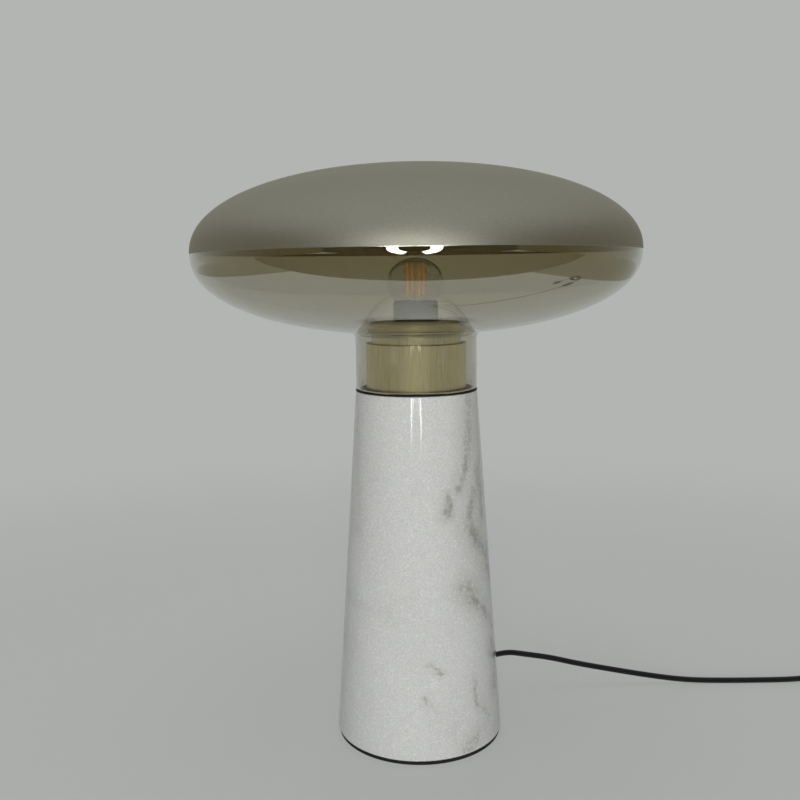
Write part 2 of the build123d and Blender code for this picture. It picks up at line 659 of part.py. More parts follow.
# --- Cord outside the lamp --------------------------------------------------------------------
RUN_TO_SWITCH = [
    on_exit(BUSHING_MOUTH),
    on_exit(BUSHING_MOUTH + EXIT_STRAIGHT),
    (104.5, 66.9, 30.8),
    (128.0, 66.5, 26.0),
    (152.0, 66.6, 20.6),
    (184.0, 65.6, 15.8),
    (216.0, 64.8, 9.8),
    (247.0, 63.4, 5.4),
    (277.0, 62.6, 2.7),
    (310.0, 61.2, 2.5),
    (341.0, 60.6, 2.6),
    (363.0, 61.4, 3.2),
    (378.0, 62.0, SWITCH_SPLIT),
    (SWITCH_AT[0] - SWITCH_LENGTH / 2 + SWITCH_WALL, SWITCH_AT[1], SWITCH_SPLIT),
]
RUN_TO_COIL = [
    (SWITCH_AT[0] + SWITCH_LENGTH / 2 - SWITCH_WALL, SWITCH_AT[1], SWITCH_SPLIT),
    (464.0, SWITCH_AT[1], SWITCH_SPLIT),
    (480.0, 62.8, 4.2),
    (495.0, COIL_AT[1] + COIL_RADIUS, COIL_Z),
    (COIL_AT[0] - COIL_END, COIL_AT[1] + COIL_RADIUS, COIL_Z),
]
RUN_TO_PLUG = [
    (COIL_AT[0] - COIL_END, COIL_AT[1] - COIL_RADIUS, COIL_Z + COIL_LAYER_RISE),
    (490.0, COIL_AT[1] - COIL_RADIUS, COIL_Z + COIL_LAYER_RISE),
    (471.0, -16.2, 6.4),
    (453.0, -17.4, 5.8),
    (437.0, PLUG_AT[1], PLUG_Z),
    (PLUG_AT[0], PLUG_AT[1], PLUG_Z),
]


def free_cord(name, points):
    line, radii = cord_line(points)
    solid = round_tube(line, CORD_RADIUS)
    section = pi * CORD_RADIUS ** 2 * line.length
    print(name, "length", round(line.length, 1), "radii", [round(r) for r in radii],
          "volume over section x length", round(solid.volume / section, 4))
    return solid


def coil_edges():
    """Half turns: in on the floor layer, one up to the next layer, and out again."""
    cx, cy = COIL_AT
    floor, upper = COIL_Z, COIL_Z + COIL_LAYER_RISE
    x, y, z, side = cx, cy + COIL_RADIUS, floor, 1
    edges = [Line((cx - COIL_END, y, z), (x, y, z))]
    inner = COIL_RADIUS - COIL_TURNS * COIL_PITCH
    inward = [COIL_RADIUS - COIL_PITCH * k / 2 for k in range(2 * COIL_TURNS)]
    outward = [inner + COIL_PITCH * k / 2 for k in range(1, 2 * COIL_TURNS + 1)]
    for radius, rise in (
        [(r, 0.0) for r in inward] + [(inner, upper - floor)] + [(r, 0.0) for r in outward]
    ):
        end = (x, y - side * 2 * radius, z + rise)
        spread = sqrt(radius ** 2 + (rise / 2) ** 2)
        middle = (x + side * spread, (y + end[1]) / 2, (z + end[2]) / 2)
        edges.append(ThreePointArc((x, y, z), middle, end))
        x, y, z = end
        side = -side
    edges.append(Line((x, y, z), (x - COIL_END, y, z)))
    return edges


def cord_coil():
    edges = coil_edges()
    line = Wire(edges)
    steps = 900
    spots = [line @ (k / steps) for k in range(steps + 1)]
    apart = line.length / steps
    skip = int(4 * CORD_RADIUS * 2 / apart)
    gap = min(
        (spots[i] - spots[j]).length for i in range(len(spots)) for j in range(i + skip, len(spots))
    ) - 2 * CORD_RADIUS
    solid = round_tube(line, CORD_RADIUS)
    print("coil length", round(line.length, 1), "least gap to itself", round(gap, 2),
          "volume over section x length",
          round(solid.volume / (pi * CORD_RADIUS ** 2 * line.length), 4))
    return solid


def coil_tie():
    cx, cy = COIL_AT
    near = COIL_RADIUS - COIL_TURNS * COIL_PITCH - CORD_RADIUS - TIE_CLEARANCE
    far = COIL_RADIUS + CORD_RADIUS + TIE_CLEARANCE
    low = COIL_Z - CORD_RADIUS - TIE_CLEARANCE
    high = COIL_Z + COIL_LAYER_RISE + CORD_RADIUS + TIE_CLEARANCE
    middle = cx + (near + far) / 2
    t = TIE_THICKNESS
    band = block(far - near + 2 * t, TIE_WIDTH, low - t, high + t, middle, cy)
    band = fillet(band.edges().filter_by(Axis.Y), 1.2)
    hole = block(far - near, TIE_WIDTH, low, high, middle, cy)
    band -= fillet(hole.edges().filter_by(Axis.Y), 0.5)
    head = block(*TIE_HEAD[:2], low + 2, low + 2 + TIE_HEAD[2], cx + far + t + TIE_HEAD[0] / 2, cy)
    return band + head


# --- Switch on the cord -----------------------------------------------------------------------
def switch_plan(inset, bottom, top):
    """The switch's rounded plan between two heights, drawn in by a wall."""
    plan = RectangleRounded(
        SWITCH_LENGTH - 2 * inset, SWITCH_WIDTH - 2 * inset, SWITCH_CORNER - inset
    )
    return Pos(*SWITCH_AT, bottom) * extrude(plan, top - bottom)


def switch_screw_spots():
    x, y = SWITCH_AT
    dx, dy = SWITCH_SCREW_AT
    return [(x - dx, y - dy), (x + dx, y + dy)]


def cord_notch():
    x, y = SWITCH_AT
    reach = SWITCH_LENGTH / 2 + 1
    hole = CORD_RADIUS + CORD_CLEARANCE
    return strut((x - reach, y, SWITCH_SPLIT), (x + reach, y, SWITCH_SPLIT), hole)


def switch_lower():
    shell = switch_plan(0, 0, SWITCH_SPLIT)
    shell = fillet(shell.edges().group_by(Axis.Z)[0], SWITCH_WALL / 2)
    shell -= switch_plan(SWITCH_WALL, SWITCH_WALL, SWITCH_SPLIT)
    shell -= cord_notch()
    for x, y in switch_screw_spots():
        shell += rod(SWITCH_BOSS_RADIUS, SWITCH_WALL, SWITCH_SPLIT, x, y)
        shell -= rod(SWITCH_SCREW_RADIUS + THREAD_CLEARANCE, 0, SWITCH_SPLIT, x, y)
        shell -= rod(SWITCH_SCREW_HEAD + THREAD_CLEARANCE, 0, SWITCH_SCREW_HEAD_HEIGHT, x, y)
    return shell


def switch_upper():
    x0, y0 = SWITCH_AT
    ceiling = SWITCH_TOP - SWITCH_WALL
    shell = switch_plan(0, SWITCH_SPLIT, SWITCH_TOP)
    shell = fillet(shell.edges().group_by(Axis.Z)[-1], SWITCH_EDGE)
    shell -= switch_plan(SWITCH_WALL, SWITCH_SPLIT, ceiling)
    shell -= cord_notch()
    slot = (ROCKER_LENGTH + 2 * ROCKER_END_PLAY, ROCKER_WIDTH + 2 * ROCKER_SIDE_PLAY)
    shell -= block(*slot, ceiling - 1, SWITCH_TOP + 1, x0, y0)
    for x, y in switch_screw_spots():
        shell += rod(SWITCH_BOSS_RADIUS, SWITCH_SPLIT, ceiling, x, y)
        depth = SWITCH_SCREW_HEAD_HEIGHT + SWITCH_SCREW_LENGTH + 0.5
        shell -= rod(SWITCH_SCREW_RADIUS + THREAD_CLEARANCE, SWITCH_SPLIT, depth, x, y)
    for side in (-1, 1):
        ear_y = y0 + side * (EAR_INNER + EAR_SIZE[1] / 2)
        shell += block(*EAR_SIZE, ROCKER_PIVOT_HEIGHT - 2.6, ceiling, x0, ear_y)
    hole = PIVOT_RADIUS + PIVOT_FIT
    reach = EAR_INNER + EAR_SIZE[1]
    ends = [(x0, y0 + side * reach, ROCKER_PIVOT_HEIGHT) for side in (-1, 1)]
    return shell - strut(*ends, hole)


def switch_screws():
    screws = []
    for x, y in switch_screw_spots():
        top = SWITCH_SCREW_HEAD_HEIGHT
        head = rod(SWITCH_SCREW_HEAD, 0.2, top, x, y)
        shank = rod(SWITCH_SCREW_RADIUS, top, top + SWITCH_SCREW_LENGTH, x, y)
        screws.append((head + shank).solid())
    return Compound(screws)


def switch_rocker():
    x0, y0 = SWITCH_AT
    half = ROCKER_LENGTH / 2
    z = ROCKER_PIVOT_HEIGHT
    outline = [
        (-half, z + 1.5), (-half, z + ROCKER_RISE), (0, z + ROCKER_WAIST), (half, z + ROCKER_RISE),
        (half, z + 1.5), (3.0, z - ROCKER_DEPTH), (-3.0, z - ROCKER_DEPTH),
    ]
    wire = Polyline(*[(x, 0, height) for x, height in outline], close=True)
    body = extrude(make_face(wire), ROCKER_WIDTH / 2, dir=(0, 1, 0), both=True)
    ends = [(0, side * PIVOT_REACH, z) for side in (-1, 1)]
    level = body + strut(*ends, PIVOT_RADIUS)
    tilted = Pos(0, 0, z) * Rot(0, -ROCKER_TILT, 0) * Pos(0, 0, -z) * level
    return Pos(x0, y0, 0) * tilted


def switch_contacts():
    x0, y0 = SWITCH_AT
    dx, dy = CONTACT_BLOCK_AT
    length, width, height = CONTACT_BLOCK
    floor = SWITCH_WALL
    blocks = [block(length, width, floor, floor + height, x0 + s * dx, y0 + dy) for s in (-1, 1)]
    return Compound([piece.solid() for piece in blocks])


def switch_cores():
    x0, y0 = SWITCH_AT
    end = SWITCH_LENGTH / 2 - SWITCH_WALL
    stop = CONTACT_BLOCK_AT[0] + CONTACT_BLOCK[0] / 2
    z = SWITCH_SPLIT
    through = strut((x0 - end, y0 + CORE_SIDE, z), (x0 + end, y0 + CORE_SIDE, z), CORE_RADIUS)
    cores = [through]
    for side in (-1, 1):
        start = (x0 + side * end, y0 - CORE_SIDE, z)
        cores.append(strut(start, (x0 + side * stop, y0 - CORE_SIDE, z), CORE_RADIUS))
    return Compound([core.solid() for core in cores])


# --- Plug -------------------------------------------------------------------------------------
def plug_body():
    x, y = PLUG_AT
    relief = turned([
        (0, 0), (PLUG_RELIEF_TIP, 0), (PLUG_RELIEF_ROOT, PLUG_RELIEF), (0, PLUG_RELIEF),
    ])
    relief = Plane(origin=(x, y, PLUG_Z), z_dir=(-1, 0, 0)).location * relief
    centre = x - PLUG_RELIEF - PLUG_LENGTH / 2
    body = Pos(centre, y, PLUG_Z) * Box(PLUG_LENGTH, PLUG_WIDTH, PLUG_HEIGHT)
    body = fillet(body.edges().filter_by(Axis.X), PLUG_CORNER)
    back = body.faces().sort_by(Axis.X)[-1]
    body = fillet(back.edges(), 3.0)
    for slot in blade_boxes():
        body -= slot
    return body + relief


def blade_boxes():
    x, y = PLUG_AT
    face = x - PLUG_RELIEF - PLUG_LENGTH
    length = BLADE_LENGTH + BLADE_ROOT
    centre = face + BLADE_ROOT - length / 2
    return [
        Pos(centre, y + side * BLADE_SPACING / 2, PLUG_Z)
        * Box(length, BLADE_THICKNESS, BLADE_WIDTH)
        for side in (-1, 1)
    ]


def plug_blades():
    blades = []
    for blade in blade_boxes():
        tip = blade.faces().sort_by(Axis.X)[0]
        blades.append(chamfer(tip.edges().filter_by(Axis.Z), 0.5).solid())
    return Compound(blades)


PARTS = {
    "foot_pad": foot_pad,
    "marble_base": marble_base,
    "foot_washer": foot_washer,
    "spring_washer": spring_washer,
    "foot_nut": lambda: hex_nut(FOOT_NUT_Z),
    "threaded_tube": threaded_tube,
    "collar": collar,
    "collar_cap": collar_cap,
    "top_washer": lambda: tube(
        TOP_WASHER_RADIUS, ROD_RADIUS + WASHER_CLEARANCE, TOP_WASHER_Z, TOP_NUT_Z
    ),
    "top_nut": lambda: hex_nut(TOP_NUT_Z),
    "seat_ring": seat_ring,
    "holder_base": holder_base,
    "holder_sleeve": holder_sleeve,
    "holder_core": holder_core,
    "holder_screw_shell": holder_screw_shell,
    "holder_centre_contact": holder_centre_contact,
    "terminal_screws": terminal_screws,
    "lead_wires": lead_wires,
    "bulb_glass": bulb_glass,
    "bulb_stem": bulb_stem,
    "filaments": filaments,
    "filament_wires": filament_wires,
    "bulb_cap": bulb_cap,
    "bulb_insulator": bulb_insulator,
    "bulb_tip": bulb_tip,
    "bulb_driver": bulb_driver,
    "shade_dome": shade_dome,
    "shade_bowl": shade_bowl,
    "shade_neck": shade_neck,
    "cord_bushing": cord_bushing,
    "inner_cord": inner_cord,
    "cord_run": lambda: free_cord("cord_run", RUN_TO_SWITCH),
    "cord_link": lambda: free_cord("cord_link", RUN_TO_COIL),
    "cord_coil": cord_coil,
    "cord_tail": lambda: free_cord("cord_tail", RUN_TO_PLUG),
    "coil_tie": coil_tie,
    "switch_lower": switch_lower,
    "switch_upper": switch_upper,
    "switch_screws": switch_screws,
    "switch_rocker": switch_rocker,
    "switch_contacts": switch_contacts,
    "switch_cores": switch_cores,
    "plug_body": plug_body,
    "plug_blades": plug_blades,
}

os.makedirs("parts", exist_ok=True)
for name, make in PARTS.items():
    export_step(make(), f"parts/{name}.step")
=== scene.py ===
from math import cos, pi, radians, sin

import bpy
from bpy.props import FloatProperty, FloatVectorProperty, PointerProperty
from mathutils import Matrix, Vector


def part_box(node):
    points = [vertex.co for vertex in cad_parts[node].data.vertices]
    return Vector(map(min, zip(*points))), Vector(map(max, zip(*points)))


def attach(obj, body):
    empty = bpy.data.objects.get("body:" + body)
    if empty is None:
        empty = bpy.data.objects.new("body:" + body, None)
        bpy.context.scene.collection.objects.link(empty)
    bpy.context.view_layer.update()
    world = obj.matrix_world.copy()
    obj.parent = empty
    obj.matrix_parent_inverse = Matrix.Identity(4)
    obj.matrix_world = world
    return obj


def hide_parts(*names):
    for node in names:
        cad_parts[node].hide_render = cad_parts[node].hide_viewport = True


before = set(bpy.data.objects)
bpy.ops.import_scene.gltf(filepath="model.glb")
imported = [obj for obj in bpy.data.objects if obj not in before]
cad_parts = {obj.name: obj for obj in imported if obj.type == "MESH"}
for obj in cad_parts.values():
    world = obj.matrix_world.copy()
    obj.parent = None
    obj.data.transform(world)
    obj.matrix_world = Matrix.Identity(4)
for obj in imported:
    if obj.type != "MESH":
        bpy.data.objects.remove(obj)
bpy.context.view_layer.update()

bl_info = {
    "name": "Mushroom table lamp",
    "version": (1, 0, 0),
    "blender": (4, 5, 0),
    "location": "3D View > Sidebar > Lamp",
    "description": "Dresses the table lamp: marble, gold collar, blown glass, bulb and cord",
    "category": "Add Mesh",
}

MM = 0.001


def low_z(node):
    """A CAD node's lowest level."""
    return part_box(node)[0][2]


def high_z(node):
    """A CAD node's highest level."""
    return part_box(node)[1][2]


def half_width(node):
    """A round CAD node's radius."""
    low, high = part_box(node)
    return (high[1] - low[1]) / 2


# --- Sizes and finishes a user would change -----------------------------------------------


def length(name, description, default):
    return FloatProperty(
        name=name, description=description, default=default, min=0.0, unit="LENGTH", precision=5
    )


def colour(name, description, default):
    return FloatVectorProperty(
        name=name, description=description, default=default, subtype="COLOR", min=0.0, max=1.0
    )


def amount(name, description, default):
    return FloatProperty(
        name=name, description=description, default=default, min=0.0, max=1.0, subtype="FACTOR"
    )


class LampShadeSettings(bpy.types.PropertyGroup):
    radius: length("Radius", "Half the shade's width", half_width("shade_dome"))
    equator: length("Equator", "Height of the shade's widest ring", low_z("shade_dome"))
    dome_rise: length(
        "Dome rise", "Height of the satin dome", high_z("shade_dome") - low_z("shade_dome")
    )
    bowl_drop: length("Bowl drop", "Depth of the clear bowl", 64 * MM)
    dome_fullness: FloatProperty(
        name="Dome fullness", description="2 is an ellipse, more is fuller", default=2.15, min=1.0
    )
    bowl_fullness: FloatProperty(
        name="Bowl fullness", description="2 is an ellipse, more is fuller", default=2.2, min=1.0
    )
    neck_radius: length("Neck radius", "Outside of the straight neck", 48.6 * MM)
    neck_blend: length("Neck blend", "Rounding between bowl and neck", 6 * MM)
    foot: length("Foot", "Level of the neck's lower edge", low_z("shade_neck"))
    wall: length("Wall", "Thickness of the blown glass", 3 * MM)
    satin: colour("Satin coat", "Metal coat on the dome", (0.43, 0.42, 0.345))
    lining: colour("Lining", "The coat seen from inside", (0.30, 0.225, 0.10))
    amber: colour("Glass tint", "Tint of light through the half mirror", (0.74, 0.63, 0.35))
    mirror: colour("Mirror tint", "Tint of the bowl's half mirror", (0.54, 0.56, 0.51))
    mirror_share: amount("Mirror share", "How much the bowl reflects", 0.43)
    neck_share: amount("Mirror share of the neck", "How much the neck reflects", 0.03)


class LampStoneSettings(bpy.types.PropertyGroup):
    foot_radius: length("Foot radius", "The cone at its foot", 68.6 * MM)
    top_radius: length("Top radius", "The cone at its top", 49 * MM)
    white: colour("White", "The stone between its veins", (0.77, 0.775, 0.755))
    vein: colour("Vein", "The veins' dark cores", (0.17, 0.155, 0.125))
    haze: colour("Haze", "Soft grey clouds round the veins", (0.44, 0.43, 0.39))


class LampMetalSettings(bpy.types.PropertyGroup):
    gold: colour("Gold", "Brushed champagne gold", (0.90, 0.77, 0.52))
    steel: colour("Steel", "Bright plated steel", (0.62, 0.62, 0.61))
    brass: colour("Brass", "Bare brass contacts", (0.70, 0.52, 0.22))


class LampBulbSettings(bpy.types.PropertyGroup):
    # the phosphor colour is also the colour of the filaments' painted glow
    phosphor: colour("Phosphor", "Coat of the unlit filaments", (0.95, 0.40, 0.04))


class LampCordSettings(bpy.types.PropertyGroup):
    diameter: length("Diameter", "Outside of the cord's jacket", 5 * MM)
    real_length: length("Length", "The cord's whole length", 1.8)
    black: colour("Jacket", "Colour of the jacket", (0.005, 0.005, 0.0055))
    plastic: colour("Plastic", "Switch, plug and bushing", (0.016, 0.016, 0.017))


class LampStageSettings(bpy.types.PropertyGroup):
    focal: FloatProperty(name="Focal length", description="Of the camera", default=41.05, min=1.0)
    floor: colour("Floor", "The plain pale floor", (0.74, 0.75, 0.74))
    backdrop: colour("Backdrop", "The tone of the floor far from the lamp", (0.450, 0.460, 0.450))
    room: colour("Dim room", "What the glass mirrors from the front", (0.036, 0.031, 0.018))
    ring: FloatProperty(
        name="Ring", description="Strength of the ring light", default=11.0, min=0.0
    )


SETTINGS = {
    "lamp_shade": LampShadeSettings,
    "lamp_stone": LampStoneSettings,
    "lamp_metal": LampMetalSettings,
    "lamp_bulb": LampBulbSettings,
    "lamp_cord": LampCordSettings,
    "lamp_stage": LampStageSettings,
}


# --- Node graphs, with plain arithmetic on their sockets ----------------------------------------


class Socket:
    """A node's output. Arithmetic on it adds Math nodes to its graph."""

    def __init__(self, graph, socket):
        self.graph, self.socket = graph, socket

    def out(self, key):
        """Another output of the same node."""
        return Socket(self.graph, self.socket.node.outputs[key])

    def math(self, operation, *others, **settings):
        inputs = dict(enumerate((self, *others)))
        return self.graph.node("ShaderNodeMath", {"operation": operation, **settings}, inputs)

    def __add__(self, other):
        return self.math("ADD", other)

    def __radd__(self, other):
        return self.math("ADD", other)

    def __sub__(self, other):
        return self.math("SUBTRACT", other)

    def __rsub__(self, other):
        return self.graph.value(other).math("SUBTRACT", self)

    def __mul__(self, other):
        return self.math("MULTIPLY", other)

    def __rmul__(self, other):
        return self.math("MULTIPLY", other)

    def __truediv__(self, other):
        return self.math("DIVIDE", other)

    def __rtruediv__(self, other):
        return self.graph.value(other).math("DIVIDE", self)

    def __pow__(self, other):
        return self.math("POWER", other)

    def clamped(self):
        return self.math("ADD", 0.0, use_clamp=True)

    def at_least(self, other):
        return self.math("MAXIMUM", other)

    def above(self, other):
        return self.math("GREATER_THAN", other)

    def below(self, other):
        return self.math("LESS_THAN", other)

    def size(self):
        return self.math("ABSOLUTE")

    def step(self, start, end):
        """A smooth step from 0 at start to 1 at end, which may be the lower one."""
        return self.graph.node(
            "ShaderNodeMapRange", {"interpolation_type": "SMOOTHSTEP"},
            {0: self, 1: start, 2: end, 3: 0.0, 4: 1.0},
        )

    def vector(self, operation, *others, out=0):
        inputs = dict(enumerate((self, *others)))
        return self.graph.node("ShaderNodeVectorMath", {"operation": operation}, inputs, out)

    def scaled(self, share):
        return self.graph.node(
            "ShaderNodeVectorMath", {"operation": "SCALE"}, {0: self, "Scale": share}
        )

    def parts(self):
        """The three numbers of a vector."""
        split = self.graph.node("ShaderNodeSeparateXYZ", {}, {0: self})
        return split, split.out(1), split.out(2)


class Graph:
    """A node tree that is filled by one method."""

    def __init__(self, tree):
        self.tree = tree

    def node(self, kind, settings=None, inputs=None, out=0):
        made = self.tree.nodes.new(kind)
        for key, value in (settings or {}).items():
            setattr(made, key, value)
        for key, value in (inputs or {}).items():
            if isinstance(value, Socket):
                self.tree.links.new(value.socket, made.inputs[key])
            else:
                made.inputs[key].default_value = value
        return Socket(self, made.outputs[out]) if len(made.outputs) else made

    def value(self, number):
        made = self.node("ShaderNodeValue")
        made.socket.default_value = number
        return made

    def joined(self, x, y, z):
        return self.node("ShaderNodeCombineXYZ", {}, {0: x, 1: y, 2: z})

    def seen(self):
        """1 on the rays that show a surface: in view, in mirrors and through glass."""
        ray = self.node("ShaderNodeLightPath")
        mirrored_or_through = ray.out("Is Glossy Ray") + ray.out("Is Transmission Ray")
        return (ray.out("Is Camera Ray") + mirrored_or_through).clamped()


class Finish(Graph):
    """A material that is being made."""

    def __init__(self, name):
        self.material = bpy.data.materials.new(name)
        self.material.use_nodes = True
        super().__init__(self.material.node_tree)
        self.tree.nodes.clear()
        self.place = self.node("ShaderNodeTexCoord", out=3)

    def mix(self, share, one, other):
        inputs = {0: share, 6: rgba(one), 7: rgba(other)}
        return self.node("ShaderNodeMix", {"data_type": "RGBA"}, inputs, out=2)

    def noise(self, scale, detail=3.0, roughness=0.55, at=None, out=0):
        inputs = {
            "Vector": at or self.place, "Scale": scale, "Detail": detail, "Roughness": roughness
        }
        return self.node("ShaderNodeTexNoise", {}, inputs, out)

    def drift(self, scale, detail, roughness, reach):
        """A vector that wanders about zero by up to half its reach."""
        wander = self.noise(scale, detail, roughness, out=1)
        return wander.vector("SUBTRACT", (0.5, 0.5, 0.5)).scaled(reach)

    def cell_colour(self, scale):
        inputs = {"Vector": self.place, "Scale": scale}
        return self.node("ShaderNodeTexVoronoi", {}, inputs, out=1)

    def bump(self, height, distance, strength=1.0):
        inputs = {"Height": height, "Distance": distance, "Strength": strength}
        return self.node("ShaderNodeBump", {}, inputs)

    def surface(self, **sockets):
        """A Principled BSDF; its sockets are given in words with _ for spaces."""
        inputs = {key.replace("_", " "): rgba(value) for key, value in sockets.items()}
        return self.node("ShaderNodeBsdfPrincipled", {}, inputs)

    def blend(self, share, one, other):
        return self.node("ShaderNodeMixShader", {}, {0: share, 1: one, 2: other})

    def lets_light_by(self, shader, tint):
        """Glass that throws no black shadow: shadow rays pass with a tint."""
        ray = self.node("ShaderNodeLightPath")
        clear = self.node("ShaderNodeBsdfTransparent", {}, {"Color": rgba(tint)})
        return self.blend(ray.out("Is Shadow Ray"), shader, clear)

    def done(self, shader):
        self.node("ShaderNodeOutputMaterial", {}, {0: shader})
        return self.material


def rgba(value):
    """Three numbers as a colour; anything else as it is."""
    if not isinstance(value, (Socket, int, float, str)) and len(value) == 3:
        return (*value, 1.0)
    return value


def toned(tint, share, lift=0.0):
    """A tint made darker or paler."""
    return tuple(min(1.0, part * share + lift) for part in tint)


# --- Getting a piece into the scene -------------------------------------------------------


def add_piece(name, data, body, replaced):
    """An object at the origin, with its place in its data, that rides on a body."""
    piece = bpy.data.objects.new(name, data)
    bpy.context.scene.collection.objects.link(piece)
    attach(piece, body)
    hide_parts(*replaced)
    return piece


def dress(nodes, material):
    """Gives CAD nodes a finish."""
    for name in nodes:
        mesh = frame_object(name).data
        mesh.materials.clear()
        mesh.materials.append(material)


def frame_object(name):
    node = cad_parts[name]
    return node if isinstance(node, bpy.types.Object) else bpy.data.objects[name]


def baked(tree, start, values, name):
    """What a Geometry Nodes tree makes of a start mesh, as a plain mesh."""
    holder = bpy.data.objects.new(name + "_start", start)
    bpy.context.scene.collection.objects.link(holder)
    modifier = holder.modifiers.new("Nodes", "NODES")
    modifier.node_group = tree
    for item in tree.interface.items_tree:
        if item.item_type == "SOCKET" and item.in_out == "INPUT" and item.name in values:
            modifier[item.identifier] = values[item.name]
    graph = bpy.context.evaluated_depsgraph_get()
    mesh = bpy.data.meshes.new_from_object(holder.evaluated_get(graph), depsgraph=graph)
    mesh.name = name
    bpy.data.objects.remove(holder)
    return mesh


def turn_up(mesh, face):
    """Turns all faces over where this one looks down."""
    if face.normal.z < 0:
        mesh.flip_normals()


# --- Turned pieces ------------------------------------------------------------------------


def new_tree(name, inputs):
    """A Geometry Nodes tree with named inputs: name -> (socket type, default)."""
    tree = bpy.data.node_groups.new(name, "GeometryNodeTree")
    face = tree.interface
    face.new_socket("Geometry", in_out="INPUT", socket_type="NodeSocketGeometry")
    for label, (kind, default) in inputs.items():
        socket = face.new_socket(label, in_out="INPUT", socket_type=kind)
        if default is not None:
            socket.default_value = default
    face.new_socket("Geometry", in_out="OUTPUT", socket_type="NodeSocketGeometry")
    graph = Graph(tree)
    start = graph.node("NodeGroupInput")
    labels = [item.name for item in face.items_tree if item.in_out == "INPUT"]
    return graph, {label: start.out(label) for label in labels}


def lathe_grid(graph, stations, turns):
    """A flat grid, with each point's share along the outline and round the axis."""
    grid = graph.node(
        "GeometryNodeMeshGrid", {},
        {"Size X": 1.0, "Size Y": 1.0, "Vertices X": stations, "Vertices Y": turns + 1},
    )
    along, around, _ = graph.node("GeometryNodeInputPosition").parts()
    return grid, along + 0.5, around + 0.5


def turned_surface(graph, grid, radius, height, around):
    """Turns the grid's points about Z, closes seam and poles, and shades the surface smooth."""
    turn = around * (2 * pi)
    place = graph.joined(radius * turn.math("COSINE"), radius * turn.math("SINE"), height)
    shaped = graph.node("GeometryNodeSetPosition", {}, {"Geometry": grid, "Position": place})
    merged = graph.node(
        "GeometryNodeMergeByDistance", {}, {"Geometry": shaped, "Distance": 0.001 * MM}
    )
    smooth = graph.node("GeometryNodeSetShadeSmooth", {}, {0: merged})
    return graph.node("GeometryNodeRealizeInstances", {}, {0: smooth})


def turned_outline_tree():
    """Turns an outline, given as a chain of points in the XZ plane, about Z."""
    graph, given = new_tree("Turned outline", {
        "Turns": ("NodeSocketInt", 96),
        "Material": ("NodeSocketMaterial", None),
    })
    outline = given["Geometry"]
    count = graph.node("GeometryNodeAttributeDomainSize", {}, {0: outline})
    grid, along, around = lathe_grid(graph, count, given["Turns"])
    index = (along * (count - 1)).math("ROUND")
    spot = graph.node(
        "GeometryNodeSampleIndex", {"data_type": "FLOAT_VECTOR"},
        {"Geometry": outline, "Value": graph.node("GeometryNodeInputPosition"), "Index": index},
    )
    radius, _, height = spot.parts()
    surface = turned_surface(graph, grid, radius, height, around)
    inputs = {"Geometry": surface, "Material": given["Material"]}
    finished = graph.node("GeometryNodeSetMaterial", {}, inputs)
    graph.node("NodeGroupOutput", {}, {0: finished})
    return graph.tree


# how many steps of the shade's outline each section has, from the top to the foot
DOME_STEPS, BOWL_STEPS, BLEND_STEPS, NECK_STEPS = 48, 48, 16, 20
SHADE_STEPS = DOME_STEPS + BOWL_STEPS + BLEND_STEPS + NECK_STEPS
SHADE_TURNS = 192

# the shade tree's inputs for its sizes, each with the setting that it takes
SHADE_SIZES = {
    "Radius": "radius",
    "Equator": "equator",
    "Dome rise": "dome_rise",
    "Bowl drop": "bowl_drop",
    "Dome fullness": "dome_fullness",
    "Bowl fullness": "bowl_fullness",
    "Neck radius": "neck_radius",
    "Neck blend": "neck_blend",
    "Foot": "foot",
}


